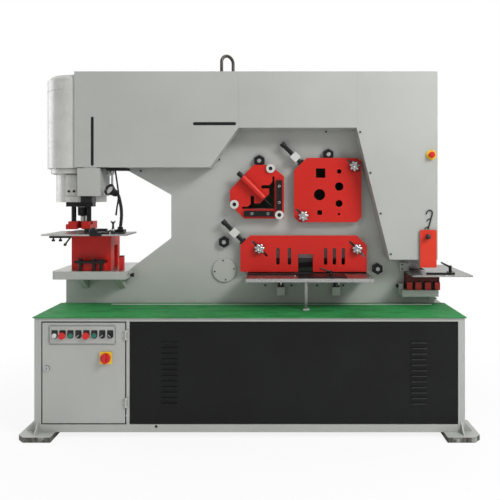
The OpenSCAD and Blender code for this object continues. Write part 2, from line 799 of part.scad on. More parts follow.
module punch_table() color(steel) {
    difference() {
        slab(table_x0, table_x1, table_front, mid_y + 100, table_z - table_t, table_z);
        slab(table_x0 - 1, punch_x - 67, mid_y - 30, mid_y + 101, table_z - table_t - 1, table_z + 1);
        slab(block_x1 + 10, table_x1 + 1, mid_y - 100, mid_y + 101, table_z - table_t - 1, table_z + 1);
        rod_z(punch_x, mid_y, 46, table_z - table_t - 1, table_z + 1);
    }
}

fence_y = -140;

// Material fence on the punching table, with its scale bar and clamp.
module punch_fence() color(oxide) {
    difference() {
        union() {
            slab(-1085, -940, fence_y, fence_y + 22, table_z + gap, table_z + 26);
            slab(-995, -925, table_front - gap - 12, fence_y + 1, table_z + gap, table_z + 12);
            slab(-995, -925, table_front - gap - 12, table_front - gap, table_z - 11, table_z + 12);
            rod_z(-979, table_front + 14, 12, table_z + 12, table_z + 40);
        }
        slab(-1060, -965, fence_y + 8, fence_y + 23, table_z + 8, table_z + 18);
    }
}

lamp_x = -857;
lamp_y = -120;
lamp_head_at = [-886, -112, 1441];
lamp_tilt = 63;
lamp_turn = -34;
lamp_axis = [sin(lamp_tilt) * sin(lamp_turn), -sin(lamp_tilt) * cos(lamp_turn), cos(lamp_tilt)];
neck_bar = 10;
barrel_r = 9;
lamp_hinge = lamp_head_at - 16 * lamp_axis;

// Bar along a path of points.
module swept(path, r) {
    for (i = [0:len(path) - 2]) hull() {
        translate(path[i]) sphere(r = r, $fn = 10);
        translate(path[i + 1]) sphere(r = r, $fn = 10);
    }
}

// Hinge barrel of the work lamp, along X.
module lamp_barrel(r, half) {
    translate(lamp_hinge) rotate([0, 90, 0]) cylinder(r = r, h = 2 * half, center = true);
}

// Magnetic base and gooseneck of the work lamp.
module lamp_stand() color(oxide) {
    base_z = table_z + 20;
    knuckle_z = base_z + 16;
    start = [lamp_x, lamp_y, knuckle_z - 4];
    end = lamp_hinge - 6 * lamp_axis;
    bulge = 13;
    slab(lamp_x - 30, lamp_x + 30, lamp_y - 30, lamp_y + 30, table_z, base_z);
    rod_z(lamp_x, lamp_y, 18, base_z, knuckle_z);
    swept([for (i = [0:5]) let (u = i / 5) start + u * (end - start) + [bulge * sin(180 * u), 0, 0]], neck_bar);
    lamp_barrel(barrel_r, 8);
}

// Head of the work lamp: a cone with a recessed lens, on a saddle that turns about the barrel.
module lamp_head() color(oxide) {
    difference() {
        translate(lamp_head_at) rotate([lamp_tilt, 0, lamp_turn]) difference() {
            union() {
                rotate_extrude() polygon([[0, 0], [20, 0], [22, 8], [26, 30], [38, 62], [38, 66], [0, 66]]);
                translate([0, 0, -12]) cylinder(r = 7, h = 13);
            }
            rotate_extrude() polygon([[0, 52], [30, 52], [35.5, 66.5], [0, 66.5]]);
        }
        lamp_barrel(barrel_r + gap, 30);
    }
}

// ---- Shear stations ----

collars = [[120, 1609], [-119, 1372], [178, 1302]];

// Half of the angle opening's edge; the other half mirrors it.
angle_half = [[0, 0], [0, angle_leg], [angle_gap, angle_leg], [angle_gap, 180], [34, 157], [86, 157],
    [86, 135], [36, 135], [36, 98]];

module angle_opening() {
    n = len(angle_half);
    other = [for (i = [n - 1:-1:1]) [angle_half[i][1], angle_half[i][0]]];
    points = concat(angle_half, other);
    translate([angle_x, angle_z]) polygon([for (p = points) [-p[0], p[1]]]);
}

// Point on the diagonal through the angle opening's corner.
function on_diagonal(d) = [angle_x - d * sin(45), angle_z + d * sin(45)];
tube_r = 22;
tube_y = guard_y0 - tube_r + 2;
tube_from = 98;
tube_to = 297;

module angle_plate() color(red) {
    difference() {
        union() {
            profile(guard_y0, guard_y1) difference() {
                polygon([[8, 1633], [110, 1633], [209, 1558], [209, 1278], [-56, 1278], [-148, 1374], [-148, 1467]]);
                angle_opening();
            }
            for (p = collars) rod_y(p[0], p[1], 22, guard_y1, front_y);
            down_right(on_diagonal(tube_to)[0], tube_y, on_diagonal(tube_to)[1])
                cylinder(r = tube_r, h = tube_to - tube_from);
        }
        down_right(on_diagonal(tube_to)[0], tube_y, on_diagonal(tube_to)[1]) translate([0, 0, -1])
            cylinder(r = screw_r + 1 + run, h = tube_to - tube_from + 2);
    }
    for (p = collars) difference() {
        rod_y(p[0], p[1], 29, guard_y0 - 12, guard_y0);
        rod_y(p[0], p[1], 13, guard_y0 - 13, guard_y0 - 4);
    }
}

// Screw of the angle hold-down: a head, the screw in its tube and the thin presser.
module angle_hold_down() color(oxide) {
    top = on_diagonal(tube_to + 42);
    down_right(top[0], tube_y, top[1]) {
        cylinder(r = screw_r + 1, h = tube_to + 42 - tube_from - 20);
        cylinder(r = 3, h = tube_to + 42 - 30);
        cylinder(r = 16, h = 22);
    }
}

blade_t = 16;

module fixed_blades() color(oxide) {
    // Two bars beside the angle opening, each with two screws.
    difference() {
        union() {
            slab(angle_x + 12, angle_x + 50, guard_y0 - blade_t, guard_y0, angle_z - 8, angle_z + 190);
            slab(angle_x - 200, angle_x - 4, guard_y0 - blade_t, guard_y0, angle_z - 50, angle_z - 12);
        }
        for (p = [[31, 42], [31, 150], [-149, -31], [-43, -31]])
            rod_y(angle_x + p[0], angle_z + p[1], 7, guard_y0 - blade_t - 1, guard_y0 - 6);
    }
    // Angle blade in the frame's window.
    profile(front_y + 4, beam_y0 - gap) difference() {
        angle_window(0);
        angle_opening();
    }
    // Bar blade in the frame's window.
    profile(front_y + 4, beam_y0 - gap) difference() {
        bar_window(0);
        bar_holes(3);
    }
    // Lower blade of the plate shear.
    slab(slit[0], slit[1], front_y + 4, beam_y0 - gap, slit[2], shear_z);
}

beam_end = 1180;
beam_low = 1045;

module beam_outline() {
    translate([pivot_x, pivot_z]) circle(r = 95);
    polygon([[-150, 950], [-30, 950], [780, 1012], [800, beam_low], [beam_end, beam_low], [beam_end, 1110],
        [1115, 1330], [960, 1330], [900, 1290], [740, 1650], [300, 1650], [200, 1625], [90, 1615],
        [-125, 1410], [-125, 1270], [-100, 1010]]);
}

module swing_beam() color("#5d5f60") {
    difference() {
        profile(beam_y0, beam_y1) difference() {
            beam_outline();
            angle_window(0);
            bar_window(0);
        }
        rod_y(pivot_x, pivot_z, pivot_r + run, beam_y0 - 1, beam_y1 + 1);
    }
    // Seat of the cylinder's rod.
    slab(shear_cyl_x - 60, shear_cyl_x + 45, beam_y0 + 10, beam_y1 - 10, 1330, 1340);
}

module beam_blades() color(oxide) {
    profile(beam_y0, beam_y1) difference() {
        angle_window(0);
        angle_opening();
    }
    profile(beam_y0, beam_y1) difference() {
        bar_window(0);
        bar_holes(3);
    }
    // Upper blade of the plate shear, hung under the beam.
    profile(beam_y0, beam_y0 + 30) polygon([[-30, 925], [760, 965], [760, 1010.4], [-30, 950]]);
}

rod_low = 1340;

module shear_cylinder() color(paint) {
    difference() {
        union() {
            slab(shear_cyl_x - 130, shear_cyl_x + 130, front_y - 45, back_y + 45, cyl_seat_z, cyl_seat_z + 30);
            rod_z(shear_cyl_x, mid_y, 105, cyl_seat_z + 30, 2000);
        }
        rod_z(shear_cyl_x, mid_y, 80, cyl_seat_z + 50, 1970);
        rod_z(shear_cyl_x, mid_y, 45 + run, cyl_seat_z - 1, cyl_seat_z + 51);
    }
}

module shear_rod() color(chrome) {
    translate([shear_cyl_x, mid_y, 0]) rotate_extrude() polygon([
        [0, rod_low + gap], [14, rod_low + gap], [30, rod_low + 6], [36, rod_low + 14], [36, rod_low + 40],
        [45, rod_low + 60], [45, 1830], [80 - run, 1830], [80 - run, 1900], [0, 1900]]);
}

module bar_outline() {
    polygon([[359, 1679], [695, 1679], [721, 1655], [721, 1288], [689, 1254], [308, 1254], [275, 1287],
        [275, 1595]]);
}

module bar_guard() color(red) {
    profile(guard_y0, guard_y1) difference() {
        bar_outline();
        bar_holes(0);
        slot(bar_stud[0][0] - 7, bar_stud[0][1] + 7, 111, 2 * stud_r + 1.4, -45);
        slot(bar_stud[1][0] - 13, bar_stud[1][1] + 13, 104, 2 * stud_r + 1.4, -45);
    }
}

module plate_outline() {
    polygon([[-16, 1166], [690, 1166], [756, 1100], [756, 926], [-80, 926], [-80, 1102]]);
}

window = [302, 400, 1043];
guard_slots = [169, 245, 484, 542, 601];

module plate_guard() color(red) {
    profile(guard_y0, guard_y1) difference() {
        plate_outline();
        translate([window[0], 900]) square([window[1] - window[0], window[2] - 900]);
        for (x = guard_slots) slot(x, 1028, 112, 23, 90);
        for (p = plate_stud) slot(p[0], p[1], 146, 2 * stud_r + 1.4, -45);
    }
}

// Hold-down screw: head, screw through its block, and the foot on the guard's chamfer.
// up and down are the lengths either side of the block's centre.
module hold_down_screw(p, up, down) {
    foot_t = 14;
    down_right(p[0], screw_y, p[1]) {
        translate([0, 0, -up]) cylinder(r = screw_r, h = up + down - foot_t + 1);
        translate([0, 0, -up]) cylinder(r = screw_r + 4, h = 30);
        translate([0, 0, down - foot_t / 2]) cube([48, guard_t - 1, foot_t], center = true);
        translate([0, 0, down - foot_t - 3]) cylinder(r = screw_r + 3, h = 4);
    }
}

// Distance along the screw from a block's centre to a guard's chamfer through point c.
function reach(p, c) = ((c[0] - p[0]) - (c[1] - p[1])) / sqrt(2);

module bar_screw() color(oxide) {
    hold_down_screw(bar_block, 130, reach(bar_block, [275, 1595]) - gap);
}

module plate_screw() color(oxide) {
    hold_down_screw(plate_block, 112, reach(plate_block, [-80, 1102]) - gap);
}

// Star knob on a stud: six lobes round a hub.
module star_knob(p) {
    lobe = 9;
    difference() {
        union() {
            profile(guard_y0 - 30, guard_y0 - 8) translate(p) {
                circle(r = knob_r - lobe);
                for (a = [0:60:300]) rotate(a + 14) translate([knob_r - lobe, 0]) circle(r = lobe);
            }
            rod_y(p[0], p[1], 17, guard_y0 - 36, guard_y0 - 30);
            rod_y(p[0], p[1], 16, guard_y0 - 9, guard_y0 - gap);
        }
        rod_y(p[0], p[1], stud_r + run, guard_y0 - 30.5, guard_y0);
    }
}

module star_knob_1() color(chrome) star_knob(bar_stud[0]);
module star_knob_2() color(chrome) star_knob(bar_stud[1]);
module star_knob_3() color(chrome) star_knob(plate_stud[0]);
module star_knob_4() color(chrome) star_knob(plate_stud[1]);

shear_table_x = [-31, 761];
shear_table_y = -303;

module shear_table() color(steel) {
    t = 22;
    slab(shear_table_x[0], shear_table_x[1], shear_table_y, front_y, shear_z - t, shear_z);
    // Two brackets from the frame, with their flanges and nut blocks.
    for (x = [162, 531]) {
        translate([x + 21, front_y, shear_z - t]) rotate([90, 0, 90]) linear_extrude(10)
            polygon([[0, 0], [-190, 0], [-190, -30], [-60, -60], [0, -60]]);
        slab(x, x + 53, front_y - 30, front_y, 766, 820);
        slab(x + 8, x + 45, front_y - 22, front_y, 820, 850);
    }
    // Leg of the table, on its foot.
    slab(336, 354, -250, -232, deck_z + mat_t + 5, shear_z - t);
    slab(326, 364, -260, -222, deck_z + mat_t, deck_z + mat_t + 6);
}

// Fence of the shearing table: a guide plate, a stop bar behind it and the clamp lever.
module shear_fence() color(oxide) {
    z0 = shear_z + gap;
    x = 505;
    y = -213;
    slab(295, 600, -262, -120, z0, z0 + 6);
    slab(-30, 296, -145, -105, z0, z0 + 8);
    rod_z(x, y, 13, z0 + 6, z0 + 20);
    rod_z(x, y, 9, z0 + 20, z0 + 38);
    translate([x, y, z0 + 30]) rotate([0, -72, 12]) cylinder(r1 = 7, r2 = 5, h = 78);
}

notch_x = 1110;
notch_w = 76;
notch_d = 86;
notch_top = notch_z + 107;
notch_front = -100;
notch_table_t = 10;

module notcher_die() color("#5a1712") {
    x1 = 1230;
    difference() {
        slab(step_x, x1, notch_front, 2 * mid_y - notch_front, notch_z, notch_top);
        slab(notch_x - notch_w / 2 - 1, notch_x + notch_w / 2 + 1, mid_y - notch_d / 2 - 1,
            mid_y + notch_d / 2 + 1, notch_z - 1, notch_top + 1);
        slab(step_x - 1, x1 + 1, notch_front - 1, notch_front + 16, notch_z + 50, notch_top + 1);
        for (g = [[1047, 20], [1108, 22], [1170, 25]])
            slab(g[0], g[0] + g[1], notch_front - 1, notch_front + 15, notch_z - 1, notch_z + 51);
    }
}

module notcher_bracket() color(paint) {
    x0 = step_x - 44;
    guide_x = step_x - 32;
    guide_z = notch_top + notch_table_t + gap;
    difference() {
        union() {
            slab(x0 + 12, 1217, notch_front - 10, front_y, notch_z - 42, notch_z);
            slab(x0, x0 + 28, front_y - 50, front_y, notch_z - 37, notch_z + 36);
            // Guide block of the notcher on the frame's face.
            slab(guide_x, guide_x + 59, front_y - 26, front_y, guide_z, guide_z + 54);
        }
        for (z = [guide_z + 12, guide_z + 41]) rod_y(guide_x + 15, z, 6, front_y - 27, front_y - 12);
    }
}

module notcher_table() color(steel) {
    z = notch_top + notch_table_t;
    difference() {
        slab(step_x + 1, reach_x, -250, 2 * mid_y + 150, notch_top, z);
        slab(notch_x - notch_w / 2 - 16, notch_x + notch_w / 2 + 16, mid_y - notch_d / 2 - 16,
            mid_y + notch_d / 2 + 16, notch_top - 1, z + 1);
    }
    // Stop bar with its clamp lever.
    slab(1115, 1288, -212, -190, z, z + 11);
    slab(1262, 1298, -191, -130, z, z + 11);
    rod_z(1280, -150, 10, z + 11, z + 50);
    translate([1280, -150, z + 40]) rotate([0, -63, 0]) cylinder(r1 = 7, r2 = 5, h = 67);
}

module notcher_ram() color(steel) {
    z0 = notch_top + 26;
    z1 = beam_low - gap;
    slab(notch_x - notch_w / 2, notch_x + notch_w / 2, mid_y - notch_d / 2, mid_y + notch_d / 2, z0, z1 - 12);
    slab(notch_x - 10, notch_x + 10, mid_y - notch_d / 2, mid_y + notch_d / 2, z1 - 12, z1);
}

// Guard of the notcher, with the stud and washer that slide in the cover's slot.
module notcher_guard() color(red) {
    y1 = cover_front - 10 - gap;
    y2 = cover_front + cover_t + gap;
    slab(1080, 1186, y1 - 4, y1, 968, 1210);
    rod_y(guard_knob[0], guard_knob[1], 12, y1, cover_front - gap);
    rod_y(guard_knob[0], guard_knob[1], 6, y1 - 20, y2 + 8);
    rod_y(guard_knob[0], guard_knob[1], 12, y2, y2 + 6);
}

// ---- Door and controls ----

ctl_z = 603;
ctl_x0 = -1153;
ctl_pitch = 47;
ctl = [for (i = [0:7]) ctl_x0 + i * ctl_pitch];
ctl_plate_y = -base_y - 4;
switch_at = [-850, 471];
switch_y = -base_y - 10;
ctl_r = 8;

module door() color(paint) {
    difference() {
        union() {
            difference() {
                slab(door_x0 + door_gap, door_x1 - door_gap, -base_y, -base_y + door_fold,
                    panel_z0 + door_gap, panel_z1 - door_gap);
                slab(door_x0 + door_gap + sheet_t, door_x1 - door_gap - sheet_t, -base_y + sheet_t,
                    -base_y + door_fold + 1, panel_z0 + door_gap + sheet_t, panel_z1 - door_gap - sheet_t);
            }
            // Raised control plate and the base of the main switch.
            slab(-1188, -792, ctl_plate_y, -base_y, 550, 663);
            slab(switch_at[0] - 35, switch_at[0] + 35, switch_y, -base_y, switch_at[1] - 35, switch_at[1] + 35);
            // Hinge knuckles.
            for (z = hinge_z) {
                rod_z(hinge_x, hinge_y, 6, z, z + 30);
                slab(hinge_x - 24, hinge_x, -base_y - 2, -base_y, z, z + 30);
                slab(hinge_x - 6, hinge_x, hinge_y, -base_y, z, z + 30);
            }
        }
        for (i = [1:7]) rod_y(ctl[i], ctl_z, ctl_r + run, ctl_plate_y - 1, -base_y + sheet_t + 1);
        rod_y(switch_at[0], switch_at[1], ctl_r + run, switch_y - 1, -base_y + sheet_t + 1);
        rod_y(lock_x, lock_z, 9 + run, -base_y - 1, -base_y + sheet_t + 1);
        for (z = hinge_z) rod_z(hinge_x, hinge_y, 3 + run, z - 1, z + 31);
    }
    // Signal lamp.
    rod_y(ctl[0], ctl_z, 14, ctl_plate_y - 10, ctl_plate_y);
}

// Quarter-turn lock; its cam swings behind the corner post. It stands unlocked, cam up.
module door_lock() color(chrome) {
    cam_y = -base_y + post_w + 2;
    rod_y(lock_x, lock_z, 9, -base_y - 2, cam_y + 6);
    difference() {
        rod_y(lock_x, lock_z, 17, -base_y - 8, -base_y - gap);
        slab(lock_x - 2, lock_x + 2, -base_y - 9, -base_y - 4, lock_z - 9, lock_z + 9);
    }
    slab(lock_x - 9, lock_x + 9, cam_y, cam_y + 4, lock_z - 9, lock_z + 48);
}

// Push button at device i, with a head of radius r.
module push_button(i, r, head, lift) {
    rod_y(ctl[i], ctl_z, ctl_r, ctl_plate_y - lift - 1, -base_y + 22);
    rod_y(ctl[i], ctl_z, r, ctl_plate_y - lift - head, ctl_plate_y - lift);
}

module stop_button_1() color(red) push_button(1, 20, 12, 8);
module stop_button_2() color(red) push_button(4, 20, 12, 8);
module start_button_1() color("#177a66") push_button(2, 13, 4, 6);
module start_button_2() color("#1c6f80") push_button(5, 13, 4, 6);

// Selector at device i, its handle turned by a.
module selector(i, a) {
    rod_y(ctl[i], ctl_z, ctl_r, ctl_plate_y - 2, -base_y + 22);
    rod_y(ctl[i], ctl_z, 13, ctl_plate_y - 6, ctl_plate_y - gap);
    translate([ctl[i], ctl_plate_y - 11, ctl_z]) rotate([0, a, 0]) cube([6, 12, 25], center = true);
}

module selector_1() color(oxide) selector(3, 45);
module selector_2() color(oxide) selector(6, 45);
module selector_3() color(oxide) selector(7, -45);

module switch_knob() color(red) {
    rod_y(switch_at[0], switch_at[1], ctl_r, switch_y - 2, -base_y + 30);
    rod_y(switch_at[0], switch_at[1], 30, switch_y - 10, switch_y - gap);
    translate([switch_at[0], switch_y - 20, switch_at[1]]) cube([14, 22, 54], center = true);
}

base_frame();
work_mat();
front_panel();
base_panels();
hydraulic_unit();
electric_panel();
front_frame_plate();
rear_frame_plate();
frame_pins();
pivot_covers();
left_cover();
centre_cover();
right_cover();
lifting_eye();
punch_cylinder();
stroke_box();
die_bolster();
die_block();
die_clamps();
punch_die();
punch_table();
lamp_stand();
lamp_head();
punch_ram();
punch_tool();
stripper();
punch_fence();
angle_plate();
fixed_blades();
swing_beam();
beam_blades();
shear_cylinder();
shear_rod();
angle_hold_down();
bar_guard();
bar_screw();
plate_guard();
plate_screw();
star_knob_1();
star_knob_2();
star_knob_3();
star_knob_4();
shear_table();
shear_fence();
notcher_die();
notcher_bracket();
notcher_table();
notcher_ram();
notcher_guard();
e_stop_button();
door();
door_lock();
stop_button_1();
stop_button_2();
start_button_1();
start_button_2();
selector_1();
selector_2();
selector_3();
switch_knob();
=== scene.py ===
"""Looks of the hydraulic ironworker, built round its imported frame.

Metres, +Z up, and -Y is the operator's side.
"""

import json
import math

import bmesh
import bpy
from mathutils import Matrix, Vector


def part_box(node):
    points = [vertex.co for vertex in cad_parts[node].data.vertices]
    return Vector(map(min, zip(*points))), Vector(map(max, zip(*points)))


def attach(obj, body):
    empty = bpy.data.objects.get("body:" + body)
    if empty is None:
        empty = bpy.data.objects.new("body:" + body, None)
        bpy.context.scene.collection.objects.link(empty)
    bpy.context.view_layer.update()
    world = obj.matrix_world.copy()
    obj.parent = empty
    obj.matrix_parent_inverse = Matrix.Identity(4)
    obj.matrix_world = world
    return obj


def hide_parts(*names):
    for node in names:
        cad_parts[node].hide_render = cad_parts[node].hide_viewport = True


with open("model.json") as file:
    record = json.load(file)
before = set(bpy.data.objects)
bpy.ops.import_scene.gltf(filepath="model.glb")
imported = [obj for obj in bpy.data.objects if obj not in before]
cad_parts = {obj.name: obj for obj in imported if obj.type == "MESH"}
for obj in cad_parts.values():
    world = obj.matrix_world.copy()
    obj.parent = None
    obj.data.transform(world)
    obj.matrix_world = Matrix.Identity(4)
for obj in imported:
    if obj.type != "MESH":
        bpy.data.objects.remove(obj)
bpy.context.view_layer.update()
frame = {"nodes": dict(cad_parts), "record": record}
scene = bpy.context.scene

# ---- Materials ----


def linear(r, g, b):
    """A colour written as 0-255 screen values, as the shader wants it."""
    def channel(v):
        v /= 255
        return v / 12.92 if v <= 0.04045 else ((v + 0.055) / 1.055) ** 2.4
    return (channel(r), channel(g), channel(b), 1)


def add_node(tree, kind, **values):
    """A new shader node with its properties set."""
    made = tree.nodes.new("ShaderNode" + kind)
    for key, value in values.items():
        setattr(made, key, value)
    return made


def combine(tree, operation, first, second):
    """The result of two node outputs under a math operation."""
    made = add_node(tree, "Math", operation=operation)
    tree.links.new(first, made.inputs[0])
    tree.links.new(second, made.inputs[1])
    return made.outputs[0]


def remap(tree, value, low, high, to_low, to_high, **values):
    """A node output taken from one range to another, held at its ends."""
    made = add_node(tree, "MapRange", clamp=True, **values)
    for key, number in (("From Min", low), ("From Max", high), ("To Min", to_low), ("To Max", to_high)):
        made.inputs[key].default_value = number
    tree.links.new(value, made.inputs["Value"])
    return made.outputs["Result"]


def shade(colour, factor):
    """A colour made darker by a factor."""
    return tuple(c * factor for c in colour[:3]) + (1,)


class Shader:
    """A material under construction: one Principled shader and the nodes that feed it."""

    def __init__(self, name, colour, roughness, metallic=0.0, specular=0.5):
        self.material = bpy.data.materials.new(name)
        self.material.use_nodes = True
        self.tree = self.material.node_tree
        self.shader = self.tree.nodes["Principled BSDF"]
        self.shader.inputs["Metallic"].default_value = metallic
        self.shader.inputs["Roughness"].default_value = roughness
        self.shader.inputs["Base Color"].default_value = colour
        self.shader.inputs["Specular IOR Level"].default_value = specular
        self.colour = colour
        self.colour_out = None
        self.place = self.node("TexCoord").outputs["Object"]

    def node(self, kind, **values):
        """A new node of this material."""
        return add_node(self.tree, kind, **values)

    def link(self, out, into):
        """Joins an output to an input."""
        self.tree.links.new(out, into)

    def noise(self, scale, detail=3.0, stretch=(1, 1, 1)):
        """A noise whose features are about 1/scale metres, drawn out along an axis by stretch."""
        source = self.place
        if stretch != (1, 1, 1):
            mapping = self.node("Mapping")
            mapping.inputs["Scale"].default_value = stretch
            self.link(self.place, mapping.inputs["Vector"])
            source = mapping.outputs["Vector"]
        made = self.node("TexNoise")
        made.inputs["Scale"].default_value = scale
        made.inputs["Detail"].default_value = detail
        self.link(source, made.inputs["Vector"])
        return made.outputs["Fac"]

    def span(self, value, low, high, to_low, to_high):
        """A value taken from one range to another."""
        return remap(self.tree, value, low, high, to_low, to_high)

    def mix(self, factor, other):
        """Lays another colour over the present one where factor is high."""
        made = self.node("Mix", data_type="RGBA", blend_type="MIX")
        self.link(factor, made.inputs["Factor"])
        if self.colour_out:
            self.link(self.colour_out, made.inputs[6])
        else:
            made.inputs[6].default_value = self.colour
        made.inputs[7].default_value = other
        self.colour_out = made.outputs[2]
        self.link(self.colour_out, self.shader.inputs["Base Color"])

    def edges(self, width, low=0.55, high=0.95):
        """High on worn outer edges, from how much the rounded normal leaves the flat one."""
        bevel = self.node("Bevel", samples=4)
        bevel.inputs["Radius"].default_value = width
        flat = self.node("NewGeometry")
        dot = self.node("VectorMath", operation="DOT_PRODUCT")
        self.link(bevel.outputs["Normal"], dot.inputs[0])
        self.link(flat.outputs["Normal"], dot.inputs[1])
        return self.span(dot.outputs["Value"], low, high, 1, 0)

    def crevice(self, distance, low=0.35, high=0.95):
        """High in corners and gaps, from how much of the surroundings within distance is hidden."""
        made = self.node("AmbientOcclusion", samples=6)
        made.inputs["Distance"].default_value = distance
        return self.span(made.outputs["AO"], low, high, 1, 0)

    def rough(self, value, low, high):
        """Lets the roughness follow a noise between low and high."""
        self.link(self.span(value, 0.3, 0.7, low, high), self.shader.inputs["Roughness"])

    def bump(self, height, depth, soften=0.0):
        """Adds relief of the given depth in metres, over edges rounded by soften."""
        made = self.node("Bump")
        made.inputs["Strength"].default_value = 1
        made.inputs["Distance"].default_value = depth
        self.link(height, made.inputs["Height"])
        previous = self.shader.inputs["Normal"].links
        if previous:
            self.link(previous[0].from_socket, made.inputs["Normal"])
        elif soften:
            bevel = self.node("Bevel", samples=4)
            bevel.inputs["Radius"].default_value = soften
            self.link(bevel.outputs["Normal"], made.inputs["Normal"])
        self.link(made.outputs["Normal"], self.shader.inputs["Normal"])


def enamel(name, colour, roughness, soften=0.002, dirt_and_shade=linear(60, 58, 54), grime_and_shade=0.35, wear=None,
           specular=0.5):
    """Sprayed enamel: orange peel, slight tone drift, grime and painted shade in the corners, rubbed edges.
    """
    s = Shader(name, colour, roughness, specular=specular)
    s.mix(s.span(s.noise(1.7, 4), 0.35, 0.7, 0, 1), shade(colour, 0.9))
    # Darker in corners and gaps, in patches: grime, and painted shade where the corners lie in shade.
    s.mix(combine(s.tree, "MULTIPLY", s.crevice(0.05), s.span(s.noise(9, 5), 0.3, 0.7, 0, grime_and_shade)), dirt_and_shade)
    if wear:
        patches = s.span(s.noise(60, 6), 0.48, 0.62, 0, 0.75)
        s.mix(combine(s.tree, "MULTIPLY", s.edges(0.0025), patches), wear)
    s.rough(s.noise(6, 5), roughness - 0.05, roughness + 0.08)
    s.bump(s.noise(350, 1), 0.00006, soften)
    return s.material


def machined(name, colour, roughness, stretch=(1, 30, 30)):
    """Ground or milled steel: fine grain along one axis, oil film and handling stains."""
    s = Shader(name, colour, roughness, metallic=1.0)
    lines = s.noise(60, 6, stretch)
    s.mix(s.span(lines, 0.35, 0.65, 0, 0.35), shade(colour, 0.55))
    s.mix(s.span(s.noise(14, 6), 0.55, 0.8, 0, 0.45), linear(70, 60, 50))
    s.rough(s.noise(25, 5), roughness - 0.08, roughness + 0.12)
    s.bump(lines, 0.00004, 0.001)
    return s.material


def oxide(name, colour=linear(18, 18, 19), roughness=0.4):
    """Black-oxide steel with brighter rubbed edges and oily patches."""
    s = Shader(name, colour, roughness, metallic=0.25, specular=0.4)
    s.mix(s.span(s.noise(30, 5), 0.4, 0.7, 0, 0.6), linear(34, 33, 32))
    s.mix(s.edges(0.0012, 0.4, 0.9), linear(104, 102, 98))
    s.rough(s.noise(40, 4), roughness - 0.1, roughness + 0.15)
    s.bump(s.noise(500, 2), 0.00004, 0.0008)
    return s.material


def bright(name, colour, roughness, cast=0.0):
    """Plated or polished metal; cast gives the soft lumps of a polished casting."""
    s = Shader(name, colour, roughness, metallic=1.0)
    s.mix(s.span(s.noise(20, 5), 0.5, 0.8, 0, 0.4), shade(colour, 0.7))
    # Painted shade: darker in corners and gaps within 1 cm.
    s.mix(s.crevice(0.01), linear(60, 58, 56))
    s.rough(s.noise(50, 4), roughness, roughness + 0.12)
    s.bump(s.noise(45 if cast else 300, 3), cast or 0.00002, 0.001)
    return s.material


def plastic(name, colour, roughness):
    """Moulded plastic with a fine skin and faint finger marks."""
    s = Shader(name, colour, roughness)
    smudge = tuple(min(1, c * 0.8 + 0.004) for c in colour[:3]) + (1,)
    s.mix(s.span(s.noise(60, 4), 0.5, 0.75, 0, 0.35), smudge)
    s.rough(s.noise(70, 5), roughness - 0.06, roughness + 0.12)
    s.bump(s.noise(900, 2), 0.00002, 0.0006)
    return s.material


def mat_rubber():
    """Green rubber matting: fine ribs along the machine, scuffs and dust, and painted shade in its corners.
    """
    s = Shader("mat_rubber", linear(42, 136, 70), 0.6, specular=0.35)
    s.mix(s.span(s.noise(5, 6, (1, 3, 1)), 0.42, 0.68, 0, 0.75), linear(24, 100, 46))
    s.mix(s.span(s.noise(55, 6), 0.6, 0.8, 0, 0.3), linear(120, 160, 120))
    # Painted shade: darker in corners and gaps within 3 cm.
    s.mix(s.crevice(0.03), linear(12, 50, 26))
    wave = s.node("TexWave", wave_type="BANDS", bands_direction="Y")
    wave.inputs["Scale"].default_value = 50
    wave.inputs["Distortion"].default_value = 0.0
    s.link(s.place, wave.inputs["Vector"])
    s.rough(s.noise(12, 5), 0.5, 0.72)
    s.bump(wave.outputs["Fac"], 0.0006, 0.001)
    return s.material


def rolled_enamel():
    """Gloss enamel on rolled plate: slow upright ripples that break up what it reflects, and painted shade
    where nearby parts hide it.
    """
    s = Shader("cylinder_paint", linear(200, 201, 196), 0.26)
    # Painted shade: darker where parts within 28 cm hide the surroundings.
    s.mix(s.crevice(0.28, 0.3, 0.8), linear(112, 113, 106))
    s.mix(s.span(s.noise(9, 5), 0.5, 0.75, 0, 0.25), linear(150, 150, 142))
    s.rough(s.noise(6, 5), 0.22, 0.34)
    s.bump(s.noise(11, 2, (1, 1, 0.03)), 0.004)
    s.bump(s.noise(350, 1), 0.00005)
    return s.material


def flame_cut():
    """The sawn and flame-cut edge of thick plate: upright drag lines, scale and paint in patches."""
    s = Shader("flame_cut_edge", linear(96, 94, 88), 0.6, specular=0.4)
    s.mix(s.span(s.noise(70, 6, (1, 1, 0.1)), 0.42, 0.6, 0, 0.9), linear(42, 40, 38))
    s.mix(s.span(s.noise(16, 6), 0.5, 0.62, 0, 0.8), linear(172, 174, 168))
    s.bump(s.noise(240, 2, (1, 1, 0.05)), 0.0008, 0.0012)
    return s.material


def powder_coat():
    """Textured black powder coat of the front panel."""
    s = Shader("panel_powder", linear(9, 10, 10), 0.42, specular=0.25)
    s.mix(s.span(s.noise(3, 5), 0.4, 0.7, 0, 0.8), linear(15, 17, 17))
    s.mix(s.span(s.noise(120, 4), 0.62, 0.8, 0, 0.5), linear(50, 50, 48))
    s.rough(s.noise(10, 5), 0.34, 0.5)
    s.bump(s.noise(700, 2), 0.00012, 0.001)
    return s.material


